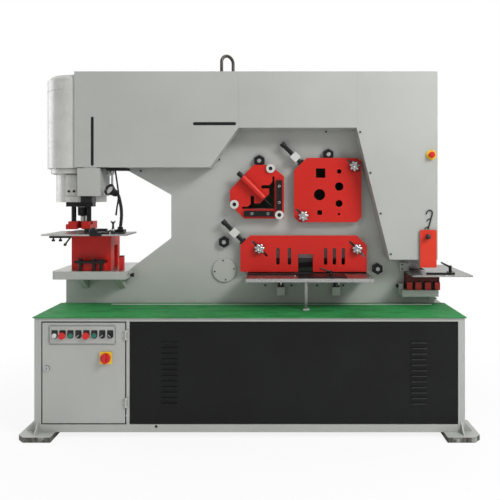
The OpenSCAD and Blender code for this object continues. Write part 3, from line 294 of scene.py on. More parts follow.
# The finish of each material slot of the record.
MATERIALS = {
    "machine_paint": enamel("machine_paint", linear(179, 181, 176), 0.45),
    "cylinder_paint": rolled_enamel(),
    "red_paint": enamel("red_paint", linear(206, 38, 30), 0.36, 0.0012, linear(70, 14, 10), 0.6,
                        linear(120, 100, 92), 0.28),
    # A darker copy of the red paint: painted shade on red parts that lie in shade.
    "dark_red_paint": enamel("dark_red_paint", linear(88, 26, 22), 0.45, 0.0012, linear(24, 14, 12), 0.7,
                             linear(120, 100, 92), 0.3),
    "unit_paint": enamel("unit_paint", linear(95, 102, 108), 0.4),
    "panel_paint": powder_coat(),
    "mat_rubber": mat_rubber(),
    "bare_steel": machined("bare_steel", linear(168, 168, 165), 0.34),
    "beam_steel": machined("beam_steel", linear(96, 96, 96), 0.45, (1, 1, 30)),
    "black_oxide": oxide("black_oxide"),
    "chrome_plate": bright("chrome_plate", linear(186, 187, 188), 0.2, 0.0006),
    "button_red": plastic("button_red", linear(205, 30, 28), 0.25),
    "button_green": plastic("button_green", linear(20, 118, 92), 0.25),
    "button_black": plastic("button_black", linear(26, 26, 28), 0.35),
}

for part in frame["record"]["subparts"]:
    node = frame["nodes"][part["node"]]
    node.data.materials.clear()
    node.data.materials.append(MATERIALS[part["material_slot"]])
    node.data.polygons.foreach_set("material_index", [0] * len(node.data.polygons))

# Finishes that only single faces and added pieces have.
EXTRA = {
    "yellow": plastic("switch_yellow", linear(236, 196, 34), 0.35),
    "legend": plastic("legend_black", linear(22, 22, 24), 0.4),
    "white": plastic("marking_white", linear(232, 232, 228), 0.35),
    "lens": plastic("lamp_lens", linear(206, 208, 204), 0.22),
    "steel": bright("plain_steel", linear(190, 190, 188), 0.3),
    "socket": oxide("socket_steel", linear(12, 12, 13), 0.5),
    "rod": bright("ground_rod", linear(205, 207, 210), 0.12),
    "block": enamel("block_paint", linear(208, 208, 204), 0.4, 0.0012, grime_and_shade=0.3),
    "forged": oxide("forged_steel", linear(74, 70, 64), 0.28),
    # A brighter, more orange copy of the red paint: painted light on the strongly lit notcher guard.
    "guard": enamel("guard_lit_red", linear(222, 60, 40), 0.36, 0.0012, linear(90, 22, 14), 0.5,
                    linear(150, 120, 110), 0.28),
    "tooth": enamel("tooth_red", linear(196, 56, 46), 0.42, 0.0008, linear(50, 14, 12), 0.8,
                    linear(150, 130, 120), 0.3),
    "ground": machined("ground_steel", linear(196, 196, 193), 0.3),
    "cut": flame_cut(),
}
for name, finish in (("lifting_eye", "forged"), ("notcher_guard", "guard")):
    frame["nodes"][name].data.materials[0] = EXTRA[finish]


def repaint(node_name, material, inside):
    """Gives the faces of a CAD node whose middle passes the test another material."""
    mesh = frame["nodes"][node_name].data
    if material.name not in mesh.materials:
        mesh.materials.append(material)
    index = mesh.materials.find(material.name)
    for face in mesh.polygons:
        if inside(face.center):
            face.material_index = index


def piece(name, bm, material, body, smooth=35):
    """Turns a bmesh into a piece that rides a body; edges sharper than smooth degrees stay sharp."""
    bmesh.ops.recalc_face_normals(bm, faces=bm.faces)
    for face in bm.faces:
        face.smooth = True
    for edge in bm.edges:
        if len(edge.link_faces) == 2 and edge.calc_face_angle(0) > math.radians(smooth):
            edge.smooth = False
    mesh = bpy.data.meshes.new(name)
    bm.to_mesh(mesh)
    bm.free()
    mesh.materials.append(material)
    made = bpy.data.objects.new(name, mesh)
    scene.collection.objects.link(made)
    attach(made, body)
    return made


def circle(sides):
    """Angles of evenly spaced points round a circle."""
    return [2 * math.pi * k / sides for k in range(sides)]


def loft(part, rings):
    """Lays faces between each ring of vertices and the next."""
    for lower, upper in zip(rings, rings[1:]):
        for k in range(len(lower)):
            after = (k + 1) % len(lower)
            part.faces.new((lower[k], lower[after], upper[after], upper[k]))


def ring(part, middle, radius, side, other, sides):
    """A ring of vertices round a point, in the plane of two unit vectors."""
    return [part.verts.new(middle + radius * (math.cos(a) * side + math.sin(a) * other))
            for a in circle(sides)]


def block(low, high, bevel, segments=2, bm=None, turn=None):
    """A box with rounded edges, added to bm; turn is a matrix about the box's own middle."""
    bm = bm or bmesh.new()
    low, high = Vector(low), Vector(high)
    part = bmesh.new()
    bmesh.ops.create_cube(part, size=1)
    bmesh.ops.scale(part, vec=high - low, verts=part.verts)
    bmesh.ops.bevel(part, geom=part.edges[:], offset=bevel, segments=segments, affect="EDGES",
                    clamp_overlap=True)
    if turn:
        bmesh.ops.transform(part, matrix=turn.to_4x4(), verts=part.verts)
    bmesh.ops.translate(part, vec=(low + high) / 2, verts=part.verts)
    return join(bm, part)


def join(bm, part):
    """Adds the faces of part to bm."""
    copies = {v: bm.verts.new(v.co) for v in part.verts}
    for face in part.faces:
        bm.faces.new([copies[v] for v in face.verts])
    part.free()
    return bm


def turned(profile, at, axis=(0, -1, 0), sides=32, bm=None):
    """A turned part: (radius, distance along axis) points revolved about an axis through at.

    A profile that ends where it starts makes an open ring; any other is capped at both ends.
    """
    bm = bm or bmesh.new()
    part = bmesh.new()
    rings = []
    is_ring = profile[0] == profile[-1]
    for radius, along in profile[:-1] if is_ring else profile:
        if radius == 0:
            rings.append([part.verts.new((0, 0, along))])
        else:
            rings.append([part.verts.new((radius * math.cos(a), radius * math.sin(a), along))
                          for a in circle(sides)])
    if is_ring:
        rings.append(rings[0])
    for lower, upper in zip(rings, rings[1:]):
        for k in range(sides):
            after = (k + 1) % sides
            corners = list(dict.fromkeys((lower[k % len(lower)], lower[after % len(lower)],
                                          upper[after % len(upper)], upper[k % len(upper)])))
            if len(corners) > 2:
                part.faces.new(corners)
    for end in (rings[0], rings[-1]):
        if len(end) > 2 and not is_ring:
            part.faces.new(end)
    swing = Vector((0, 0, 1)).rotation_difference(Vector(axis)).to_matrix().to_4x4()
    bmesh.ops.transform(part, matrix=Matrix.Translation(at) @ swing, verts=part.verts)
    return join(bm, part)


def tube(path, radius, sides, bm=None, closed=False):
    """A round bar along a path, with flat ends unless it is closed."""
    bm = bm or bmesh.new()
    points = [Vector(p) for p in path]
    part = bmesh.new()
    side = Vector((0, 1, 0))
    rings = []
    count = len(points)
    for k, point in enumerate(points):
        ahead = points[(k + 1) % count] if closed or k + 1 < count else point
        behind = points[k - 1] if closed or k else point
        along = (ahead - behind).normalized()
        side = (side - side.dot(along) * along).normalized()
        rings.append(ring(part, point, radius, side, along.cross(side), sides))
    loft(part, rings + rings[:1] if closed else rings)
    if not closed:
        part.faces.new(rings[0])
        part.faces.new(rings[-1])
    return join(bm, part)


def pan_screw(at, radius, bm=None):
    """A small pan-head screw, its head standing off a face at that point."""
    return turned([(radius, 0), (radius, radius * 0.35), (radius * 0.75, radius * 0.7), (0, radius * 0.78)],
                  at, sides=20, bm=bm)


def cap_screw(at, radius, height, axis=(0, -1, 0), bm=None):
    """A socket-head cap screw: a round head, sunk a little into the face, with a socket."""
    socket = radius * 0.55
    return turned([(radius, -0.0005), (radius, height * 0.85), (radius * 0.92, height), (socket, height),
                   (socket * 0.95, height * 0.35), (0, height * 0.3)], at, axis, 24, bm)


# ---- Where the CAD parts lie ----

PLATE_FACE = -0.010  # front of the frame plate
DOOR_FACE = -0.450  # front of the control door
LEGEND_FACE = DOOR_FACE - 0.004  # front of the control plate on the door

frame_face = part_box("front_frame_plate")[0].y
cover_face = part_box("left_cover")[0].y
guard_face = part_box("bar_guard")[0].y
die_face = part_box("notcher_die")[0].y
table_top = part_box("punch_table")[1].z
shear_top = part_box("shear_table")[1].z
bolster_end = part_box("die_bolster")[1]
stop_low, stop_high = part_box("e_stop_button")
stop_x, stop_z = (stop_low.x + stop_high.x) / 2, (stop_low.z + stop_high.z) / 2
switch_low, switch_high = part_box("switch_knob")
switch_x, switch_z = (switch_low.x + switch_high.x) / 2, (switch_low.z + switch_high.z) / 2
punch_low, punch_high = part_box("punch_ram")
punch_x, punch_y = (punch_low.x + punch_high.x) / 2, (punch_low.y + punch_high.y) / 2

# ---- Faces of CAD parts that have another finish ----

SKIN = 0.0005  # a face this close to a plane lies in it
STEP = 0.001  # a face this far in front of a plane stands out from it
STOP_PLATE_R = 0.033
SWITCH_PLATE_HALF = 0.036
STEM_R, STEM_TOP = 0.021, 1.30  # punch and its stem, below the coupling nut
HOUSING_LOW = 1.427  # underside of the stroke box's housing, with its brackets below
HOUSING_FRONT_Y = -0.155  # the underside itself is in front of this, and keeps its paint
FORK_TOP = 1.2562  # stripper fork, with its posts above
FLANGE_TOP, NUT_BLOCK_TOP = 0.8201, 0.8502  # brackets of the shear table
NUT_BLOCK_Y, FLANGE_Y = -0.0335, -0.05
LEG_Y, LEG_FOOT_TOP = -0.2, 0.724  # leg of the shear table, on its foot
NOTCHER_TABLE_TOP = 0.9292
TOOTH_TOP, GROOVE_TOP, GROOVE_DEPTH = 0.862, 0.8615, 0.0155  # teeth in the front of the notcher die
FOOT_TOP, FOOT_RIM = 0.030, 0.004  # a foot plate's edge is bare between its painted rims
WASHER_T, SLACK = 0.004, 0.0001  # washers of the frame pins
COLLARS = ((0.120, 1.609), (-0.119, 1.372), (0.178, 1.302))  # on the angle guard, x and z
COLLAR_R, COLLAR_BORE_R, COLLAR_WALL_R = 0.0292, 0.0128, 0.0125


def off_axis(p, x, z):
    """Distance of a point from an axis that runs front to back."""
    return math.hypot(p.x - x, p.z - z)


def off_collar(p):
    """Distance of a point from the axis of the nearest collar."""
    return min(off_axis(p, x, z) for x, z in COLLARS)


repaint("right_cover", EXTRA["yellow"],
        lambda p: off_axis(p, stop_x, stop_z) < STOP_PLATE_R and p.y < cover_face - STEP)
repaint("door", EXTRA["yellow"],
        lambda p: max(abs(p.x - switch_x), abs(p.z - switch_z)) < SWITCH_PLATE_HALF
        and p.y < DOOR_FACE - STEP)
repaint("front_frame_plate", EXTRA["block"], lambda p: p.y < PLATE_FACE - STEP)
repaint("punch_tool", EXTRA["steel"],
        lambda p: math.hypot(p.x - punch_x, p.y - punch_y) < STEM_R and p.z < STEM_TOP)
repaint("stroke_box", MATERIALS["black_oxide"],
        lambda p: p.z < HOUSING_LOW and not (p.y < HOUSING_FRONT_Y and p.z > HOUSING_LOW - SKIN))
repaint("stripper", MATERIALS["black_oxide"], lambda p: p.z > FORK_TOP)
repaint("shear_table", MATERIALS["black_oxide"],
        lambda p: FLANGE_TOP < p.z < NUT_BLOCK_TOP and p.y > NUT_BLOCK_Y)
repaint("shear_table", EXTRA["block"],
        lambda p: (p.z < FLANGE_TOP and p.y > FLANGE_Y) or (p.y < LEG_Y and p.z < LEG_FOOT_TOP))
repaint("notcher_table", MATERIALS["black_oxide"], lambda p: p.z > NOTCHER_TABLE_TOP)
repaint("notcher_die", EXTRA["tooth"], lambda p: p.y < die_face + SKIN and p.z < TOOTH_TOP)
repaint("notcher_die", EXTRA["socket"],
        lambda p: die_face + SKIN < p.y < die_face + GROOVE_DEPTH and p.z < GROOVE_TOP)
repaint("die_bolster", EXTRA["ground"], lambda p: p.z > bolster_end.z - SKIN)
for name in ("punch_table", "shear_table", "notcher_table"):
    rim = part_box(name)[0].y + SKIN
    repaint(name, EXTRA["ground"], lambda p: p.y < rim)
repaint("base_frame", EXTRA["cut"], lambda p: FOOT_RIM < p.z < FOOT_TOP - FOOT_RIM)
repaint("frame_pins", EXTRA["steel"], lambda p: PLATE_FACE - WASHER_T - SLACK < p.y < PLATE_FACE + SLACK)
repaint("angle_plate", EXTRA["block"],
        lambda p: p.y < guard_face - SKIN and COLLAR_WALL_R < off_collar(p) < COLLAR_R)
repaint("angle_plate", EXTRA["socket"], lambda p: off_collar(p) < COLLAR_BORE_R)

# ---- Control plate ----

# The signal lamp's body is part of the door, so its place is given here.
SIGNAL_LAMP_X = -1.153
DEVICE_Z = 0.603
DEVICES = ("signal_lamp", "stop_button_1", "start_button_1", "selector_1", "stop_button_2", "start_button_2",
           "selector_2", "selector_3")
LEGEND_HOLE = 0.0115
START_HOLE = 0.0138  # a start button's head sinks into its plate's hole when it is pressed
centres = [SIGNAL_LAMP_X] + [sum(corner.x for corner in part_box(name)) / 2 for name in DEVICES[1:]]


def legend_plate(x, hole):
    """A shield-shaped legend plate round a device, with its hole."""
    half, top, low = 0.0185, 0.032, 0.0185
    sides = 48
    bm = bmesh.new()
    rings = []
    for y in (LEGEND_FACE - 0.0012, LEGEND_FACE - 0.0001):
        outer, inner = [], []
        for k in range(sides):
            a = 2 * math.pi * (k + 0.5) / sides
            c, s = math.cos(a), math.sin(a)
            # Round below and square above.
            r = low if s < 0 else min(half / max(abs(c), 1e-6), top / max(s, 1e-6))
            outer.append(bm.verts.new((x + r * c, y, DEVICE_Z + r * s)))
            inner.append(bm.verts.new((x + hole * c, y, DEVICE_Z + hole * s)))
        rings.append((outer, inner))
    (front, front_in), (back, back_in) = rings
    for k in range(sides):
        n = (k + 1) % sides
        bm.faces.new((front[k], front[n], front_in[n], front_in[k]))
        bm.faces.new((back[n], back[k], back_in[k], back_in[n]))
        bm.faces.new((front[n], front[k], back[k], back[n]))
        bm.faces.new((front_in[k], front_in[n], back_in[n], back_in[k]))
    return bm


for number, (name, x) in enumerate(zip(DEVICES, centres)):
    hole = START_HOLE if name.startswith("start") else LEGEND_HOLE
    piece(f"legend_plate_{number + 1}", legend_plate(x, hole), EXTRA["legend"], "control_door")

lens = turned([(0.0135, 0), (0.0132, 0.004), (0.010, 0.0075), (0.005, 0.009), (0, 0.0095)],
              (centres[0], LEGEND_FACE - 0.010, DEVICE_Z))
piece("signal_lens", lens, EXTRA["lens"], "control_door")
selector_face = LEGEND_FACE - 0.0172
for number, (name, angle) in enumerate((("selector_1", 45), ("selector_2", 45), ("selector_3", -45))):
    mark = block((-0.0011, -0.0003, -0.011), (0.0011, 0.0003, 0.011), 0.0002, 1,
                 turn=Matrix.Rotation(math.radians(angle), 3, "Y"))
    bmesh.ops.translate(mark, vec=(centres[DEVICES.index(name)], selector_face, DEVICE_Z), verts=mark.verts)
    piece(f"selector_mark_{number + 1}", mark, EXTRA["white"], f"mode_selector_{number + 1}")

rivets = None
for x in (-1.181, -0.799):
    for z in (0.557, 0.656):
        rivets = pan_screw((x, LEGEND_FACE, z), 0.004, bm=rivets)
piece("control_plate_rivets", rivets, EXTRA["steel"], "control_door")

# ---- Covers and frame: slots, screws, stop rod ----

# Near-black strips fill the cover's slots just behind its front face: painted shade for the space behind.
strip_front, strip_back = cover_face + 0.0005, cover_face + 0.0024
slots = block((-1.0362, strip_front, 1.6225), (-1.0178, strip_back, 1.9375), 0.0088, 5)
block((-0.3788, strip_front, 1.8828), (-0.1012, strip_back, 1.9032), 0.0088, 5, slots)
piece("cover_slot_shade_strips", slots, EXTRA["socket"], "machine")

PLATE_SCREWS = ((0.491, 1.858), (-0.224, 1.672), (-0.750, 1.595), (0.084, 0.829), (0.260, 0.829),
                (0.431, 0.829), (0.607, 0.829))
EDGE_TOP_X, EDGE_TOP_Z = 0.675, 1.867  # upper end of the right cover's slanting edge
EDGE_RUN, EDGE_DROP = 0.213, 0.849
PIVOT_SCREW_CIRCLE = 0.0648
screws = None
for x, z in PLATE_SCREWS:
    screws = cap_screw((x, PLATE_FACE, z), 0.0065, 0.006, bm=screws)
for step in range(4):
    z = 1.839 - 0.262 * step
    edge = EDGE_TOP_X + EDGE_RUN * (EDGE_TOP_Z - z) / EDGE_DROP
    screws = cap_screw((edge + 0.016, cover_face, z), 0.0062, 0.004, bm=screws)
cover_centre = sum(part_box("pivot_covers"), Vector()) / 2
for k in range(4):
    a = math.radians(8 + 90 * k)
    screws = cap_screw((cover_centre.x + PIVOT_SCREW_CIRCLE * math.cos(a), PLATE_FACE - 0.0095,
                        cover_centre.z + PIVOT_SCREW_CIRCLE * math.sin(a)), 0.0048, 0.003, bm=screws)
# The side of the notcher bracket, the guide block above it, and the flat plate on the neck of the punch.
bracket_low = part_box("notcher_bracket")[0]
screws = cap_screw((bracket_low.x, PLATE_FACE - 0.026, 0.830), 0.012, 0.012, (-1, 0, 0), screws)
for z in (0.9413, 0.9703):
    screws = cap_screw((0.996, PLATE_FACE - 0.0135, z), 0.0056, 0.010, bm=screws)
for x in (-1.198, -1.164):
    screws = cap_screw((x, -0.103, 1.458), 0.0075, 0.005, bm=screws)
piece("black_screws", screws, EXTRA["socket"], "machine")

blade_face = guard_face - 0.016
rings, cores = None, None
for x, z in ((0.177, 1.384), (0.177, 1.492), (-0.003, 1.311), (0.103, 1.311)):
    rings = turned([(0.0088, 0), (0.0088, 0.0012), (0.0078, 0.0018), (0.0056, 0.0018), (0.0054, 0.0004),
                    (0.0054, 0), (0.0088, 0)], (x, blade_face, z), sides=28, bm=rings)
    cores = turned([(0.0053, -0.004), (0.0053, 0.001), (0.0034, 0.001), (0.0031, -0.003), (0, -0.003)],
                   (x, blade_face, z), sides=24, bm=cores)
piece("blade_screw_rings", rings, EXTRA["steel"], "machine")
piece("blade_screws", cores, EXTRA["socket"], "machine")

nut_face = PLATE_FACE - 0.030
ends = None
for x, z in ((0.044, 1.662), (0.505, 1.704), (-0.191, 1.120), (0.833, 0.941)):
    ends = turned([(0.013, 0), (0.013, 0.0015), (0.0115, 0.0022), (0.0055, 0.0022), (0.004, 0.0008),
                   (0, 0.0004)], (x, nut_face, z), sides=32, bm=ends)
piece("tie_bolt_ends", ends, EXTRA["steel"], "machine")

rail = block((-0.952, -0.112, 1.594), (-0.823, PLATE_FACE - 0.0005, 1.6115), 0.0015)
# The rod is bent back where it passes the lamp, so the lamp tilts clear of it.
tube([(-0.896, -0.100, 1.600), (-0.8925, -0.092, 1.560), (-0.885, -0.084, 1.495), (-0.8795, -0.083, 1.452),
      (-0.878, -0.083, 1.425), (-0.881, -0.085, 1.395), (-0.886, -0.093, 1.355), (-0.889, -0.102, 1.309)],
     0.0055, 16, rail)
turned([(0, 0), (0.004, 0.0004), (0.0062, 0.003), (0.0062, 0.018), (0.004, 0.020), (0, 0.0202)],
       (-0.889, -0.102, 1.300), (0, 0, 1), 20, rail)
piece("stop_rod", rail, MATERIALS["black_oxide"], "machine")

ROD_Y, ROD_LOW, ROD_LENGTH, ROD_NUT_LOW = -0.050, 1.452, 0.142, 1.582
rods = None
for x, radius in ((-0.952, 0.0060), (-0.930, 0.0072)):
    rods = turned([(0, 0), (radius * 0.8, 0), (radius, 0.001), (radius, ROD_LENGTH), (0, ROD_LENGTH)],
                  (x, ROD_Y, ROD_LOW), (0, 0, 1), 28, rods)
    rods = turned([(radius, 0), (radius + 0.004, 0), (radius + 0.005, 0.001), (radius + 0.005, 0.011),
                   (radius + 0.004, 0.012), (radius, 0.012)], (x, ROD_Y, ROD_NUT_LOW), (0, 0, 1), 6, rods)
piece("adjusting_rods", rods, EXTRA["rod"], "machine")

# ---- Punch station ----

bar = block((-1.250, -0.296, table_top - 0.0235), (-1.117, -0.274, table_top - 0.0102), 0.0015)
for x in (-1.2275, -1.183):
    turned([(0.005, 0), (0.005, 0.008), (0.0095, 0.009), (0.0105, 0.012), (0.0105, 0.018), (0.009, 0.021),
            (0, 0.022)], (x, -0.285, table_top - 0.0232), (0, 0, -1), 20, bar)
tube([(-1.120, -0.285, table_top - 0.018), (-1.126, -0.286, table_top - 0.026),
      (-1.136, -0.288, table_top - 0.040), (-1.150, -0.290, table_top - 0.060)], 0.005, 14, bar)
turned([(0, 0), (0.0055, 0.001), (0.0085, 0.005), (0.0095, 0.010), (0.0085, 0.015), (0.005, 0.019),
        (0, 0.020)], (-1.147, -0.2895, table_top - 0.055), (-0.5, -0.06, -0.8), 20, bar)
piece("under_table_stop", bar, MATERIALS["black_oxide"], "machine")

GAP = 0.0002  # between an added piece and the table under it
on_table = table_top + GAP
strip = block((-1.066, -0.2985, on_table), (-1.001, -0.286, table_top + 0.006), 0.0008)
block((-0.918, -0.290, on_table), (-0.886, -0.268, table_top + 0.010), 0.001, 2, strip)
block((-0.876, -0.235, on_table), (-0.800, -0.215, table_top + 0.007), 0.001, 2, strip)
piece("table_stops", strip, MATERIALS["black_oxide"], "machine")

CLAMP_X, CLAMP_Y = -0.881, -0.200  # axis of the wing clamp
wing = turned([(0, 0), (0.016, 0), (0.0165, 0.004), (0.013, 0.010), (0.0115, 0.022), (0.008, 0.030),
               (0.0065, 0.050), (0.0055, 0.070), (0.0065, 0.074), (0, 0.076)], (CLAMP_X, CLAMP_Y, on_table),
              (0, 0, 1), 24)
for side in (-1, 1):
    tube([(CLAMP_X + out * side, CLAMP_Y, table_top + up)
          for out, up in ((0, 0.058), (0.006, 0.066), (0.012, 0.076), (0.015, 0.079))], 0.0036, 12, wing)
tube([(-0.884, -0.200, table_top + 0.012), (-0.896, -0.202, table_top + 0.018),
      (-0.905, -0.203, table_top + 0.012), (-0.910, -0.204, table_top + 0.004)], 0.005, 12, wing)
piece("wing_clamp", wing, MATERIALS["black_oxide"], "machine")
collar = turned([(0.0118, 0), (0.0125, 0.001), (0.0125, 0.014), (0.0118, 0.015)],
                (CLAMP_X, CLAMP_Y, table_top + 0.013), (0, 0, 1), 28)
piece("wing_clamp_collar", collar, EXTRA["steel"], "machine")

nut_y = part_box("punch_fence")[0].y + 0.026
knob = None
for x in (-0.994, -0.964):
    knob = turned([(0, 0), (0.010, 0), (0.0115, 0.002), (0.0115, 0.016), (0.010, 0.019), (0.004, 0.020),
                   (0, 0.020)], (x, nut_y, table_top + 0.0122), (0, 0, 1), 14, knob)
piece("fence_thumb_nuts", knob, MATERIALS["black_oxide"], "punch_fence_slide")

cap = block((-0.8775, -0.0755, 1.0272), (-0.8485, -0.0445, 1.034), 0.002)
piece("side_block_cap", cap, MATERIALS["black_oxide"], "machine")
side_knob = turned([(0.008, 0), (0.008, 0.006), (0.0125, 0.008), (0.0135, 0.012), (0.0135, 0.020),
                    (0.011, 0.024), (0, 0.025)], (bolster_end.x, -0.060, 0.906), (1, 0, 0), 28)
turned([(0.0055, 0), (0.0055, 0.001), (0.003, 0.001), (0.003, 0)], (bolster_end.x, -0.105, 0.922),
       (1, 0, 0), 20, side_knob)
piece("bolster_side_knob", side_knob, MATERIALS["black_oxide"], "machine")

# ---- Hold-down screws: the thread that shows above and below their blocks ----

DOWN = Vector((1, 0, -1)).normalized()
SCREW_Y = guard_face + 0.008
BAR_BLOCK = (0.284, SCREW_Y, 1.685)
PLATE_BLOCK = (-0.119, SCREW_Y, 1.184)
THREAD_CORE = 0.01402
THREAD_CREST = THREAD_CORE + 0.0007
THREAD_PITCH = 0.0025


def thread(centre, start, end):
    """Thread of a hold-down screw between two distances from its block's centre."""
    count = round((end - start) / THREAD_PITCH)
    profile = [(THREAD_CORE, 0)]
    for k in range(count):
        profile += [(THREAD_CORE, k * THREAD_PITCH + 0.0001), (THREAD_CREST, (k + 0.35) * THREAD_PITCH),
                    (THREAD_CREST, (k + 0.6) * THREAD_PITCH), (THREAD_CORE, (k + 0.95) * THREAD_PITCH)]
    profile.append((THREAD_CORE - 0.0002, count * THREAD_PITCH))
    return turned(profile, Vector(centre) + DOWN * start, DOWN, 24)


piece("bar_screw_thread", thread(BAR_BLOCK, -0.098, -0.038),
      MATERIALS["black_oxide"], "bar_hold_down_screw")
piece("plate_screw_thread", thread(PLATE_BLOCK, -0.080, -0.039),
      MATERIALS["black_oxide"], "plate_hold_down_screw")
piece("plate_screw_thread_low", thread(PLATE_BLOCK, 0.043, 0.064),
      MATERIALS["black_oxide"], "plate_hold_down_screw")

# ---- Star knobs ----


def star_knob(at):
    """A cast seven-lobed knob: rings of a lobed outline from its hub to its face, bored for the stud."""
    sides = 112
    lobes, first_lobe, lobe_depth = 7, math.radians(9), 0.0052
    bore_r, bore_end = 0.0074, 0.0306
    # Radius, distance from the cover, and how much of the lobes shows there.
    layers = ((0.0160, 0.0003, 0), (0.0165, 0.0060, 0), (0.0190, 0.0078, 0.1), (0.0272, 0.0092, 0.7),
              (0.0300, 0.0116, 1), (0.0312, 0.0150, 1), (0.0312, 0.0200, 1), (0.0300, 0.0240, 1),
              (0.0272, 0.0272, 0.9), (0.0232, 0.0292, 0.6), (0.0195, 0.0300, 0.25), (0.0172, 0.0312, 0),
              (0.0168, 0.0350, 0), (0.0158, 0.0360, 0), (0.0090, 0.0360, 0), (0.0082, 0.0350, 0))
    bm = bmesh.new()
    rings = []
    for radius, along, lobe in layers:
        outline = []
        for a in circle(sides):
            # Broad rounded lobes with narrow hollows between them.
            wave = 1 - 2 * abs(math.sin(lobes * (a - first_lobe) / 2)) ** 3
            r = radius + lobe_depth * lobe * wave
            outline.append(bm.verts.new((at.x + r * math.cos(a), at.y - along, at.z + r * math.sin(a))))
        rings.append(outline)
    loft(bm, rings)
    centre = bm.verts.new((at.x, at.y - 0.0346, at.z))
    for k in range(sides):
        bm.faces.new((rings[-1][k], rings[-1][(k + 1) % sides], centre))
    bore = [bm.verts.new((at.x + bore_r * math.cos(a), at.y - layers[0][1], at.z + bore_r * math.sin(a)))
            for a in circle(sides)]
    end = [bm.verts.new((v.co.x, at.y - bore_end, v.co.z)) for v in bore]
    for k in range(sides):
        n = (k + 1) % sides
        bm.faces.new((rings[0][n], rings[0][k], bore[k], bore[n]))
        bm.faces.new((bore[n], bore[k], end[k], end[n]))
    bm.faces.new(end)
    return bm


for number in (1, 2, 3, 4):
    low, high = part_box(f"star_knob_{number}")
    middle = (low + high) / 2
    made = piece(f"cast_knob_{number}", star_knob(Vector((middle.x, guard_face, middle.z))),
                 MATERIALS["chrome_plate"], f"knob_{number}", 50)
    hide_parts(f"star_knob_{number}")

# ---- Shear table and notcher ----

trim = cap_screw((0.277, -0.198, shear_top), 0.006, 0.006, (0, 0, 1))
cap_screw((0.740, -0.270, shear_top), 0.006, 0.006, (0, 0, 1), trim)
piece("shear_table_screws", trim, EXTRA["steel"], "machine")

STUD_X, STUD_Z = 1.125, 1.168  # stud that the notcher guard slides on
ball = turned([(0.0075, 0.0245), (0.0110, 0.0262), (0.0150, 0.0300), (0.0172, 0.0350), (0.0172, 0.0405),
               (0.0150, 0.0455), (0.0110, 0.0492), (0.0060, 0.0512), (0, 0.0520)],
              (STUD_X, cover_face, STUD_Z), sides=32)
piece("guard_stud_knob", ball, MATERIALS["button_black"], "notcher_guard_slide")

HOOK_PATH = ((1.1225, 1.3105), (1.1245, 1.3185), (1.1290, 1.3270), (1.1355, 1.3335), (1.1430, 1.3365),
             (1.1510, 1.3350), (1.1580, 1.3295), (1.1618, 1.3215), (1.1610, 1.3120), (1.1570, 1.2960),
             (1.1515, 1.2760), (1.1455, 1.2540), (1.1400, 1.2330), (1.1355, 1.2140))
hook_y = cover_face - 0.0042
hook = tube([(x, hook_y, z) for x, z in HOOK_PATH], 0.0036, 14)
for x, z in ((1.1525, 1.2790), (1.1385, 1.2265)):
    tube([(x, hook_y, z), (x - 0.0080, hook_y, z + 0.0020), (x - 0.0160, hook_y, z - 0.0010),
          (x - 0.0225, hook_y, z - 0.0065), (x - 0.0265, hook_y, z - 0.0135)], 0.0033, 14, hook)
piece("tool_hook", hook, MATERIALS["black_oxide"], "machine")

# ---- Work lamp ----

# Where the CAD's lamp head lies, and the way it points.
lamp_at = Vector((-0.886, -0.112, 1.441))
lamp_way = Vector((-0.498, -0.739, 0.454)).normalized()
lens = turned([(0.0296, 0.0525), (0.0296, 0.0545), (0.026, 0.0580), (0.018, 0.0605), (0.009, 0.0617),
               (0, 0.062)], lamp_at, lamp_way, 40)
piece("lamp_lens", lens, EXTRA["lens"], "lamp")
trim = turned([(0.0352, 0.0655), (0.0352, 0.0672), (0.0385, 0.0672), (0.0392, 0.0655), (0.0392, 0.0612),
               (0.0382, 0.0610), (0.0382, 0.0655), (0.0352, 0.0655)], lamp_at, lamp_way, 48)
piece("lamp_rim", trim, EXTRA["socket"], "lamp")
NECK_BOW = 0.013  # how far the gooseneck bows to the right at half its length
RIBS = 34
neck_base = Vector((-0.857, -0.120, table_top + 0.032))
neck_end = lamp_at - 0.022 * lamp_way
ribs = bmesh.new()
for k in range(1, RIBS):
    u = k / RIBS
    at = neck_base + u * (neck_end - neck_base) + Vector((NECK_BOW * math.sin(math.pi * u), 0, 0))
    way = (neck_end - neck_base) + Vector((NECK_BOW * math.pi * math.cos(math.pi * u), 0, 0))
    turned([(0.0098, -0.0024), (0.0107, -0.0014), (0.0109, 0), (0.0107, 0.0014), (0.0098, 0.0024)], at,
           way.normalized(), 24, ribs)
piece("gooseneck_ribs", ribs, MATERIALS["black_oxide"], "machine")

# ---- Cylinder seam, control plate rim, weld beads ----

SEAM_Z = 2.119
cylinder_r = punch_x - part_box("punch_cylinder")[0].x
seam = [(punch_x + cylinder_r * math.cos(math.radians(a)), punch_y + cylinder_r * math.sin(math.radians(a)),
         SEAM_Z) for a in range(100, 259, 4)]
piece("cylinder_seam", tube(seam, 0.0022, 10), MATERIALS["cylinder_paint"], "machine")


def rounded(low_x, high_x, low_z, high_z, radius, y):
    """A closed path round a rectangle with rounded corners, in an upright plane."""
    steps = 6
    path = []
    for cx, cz, start in ((high_x - radius, high_z - radius, 0), (low_x + radius, high_z - radius, 90),
                          (low_x + radius, low_z + radius, 180), (high_x - radius, low_z + radius, 270)):
        for k in range(steps + 1):
            a = math.radians(start + 90 * k / steps)
            path.append((cx + radius * math.cos(a), y, cz + radius * math.sin(a)))
    return path


rim_path = rounded(-1.185, -0.795, 0.553, 0.660, 0.008, LEGEND_FACE - 0.0002)
piece("control_plate_rim", tube(rim_path, 0.0011, 8, closed=True), EXTRA["legend"], "control_door")


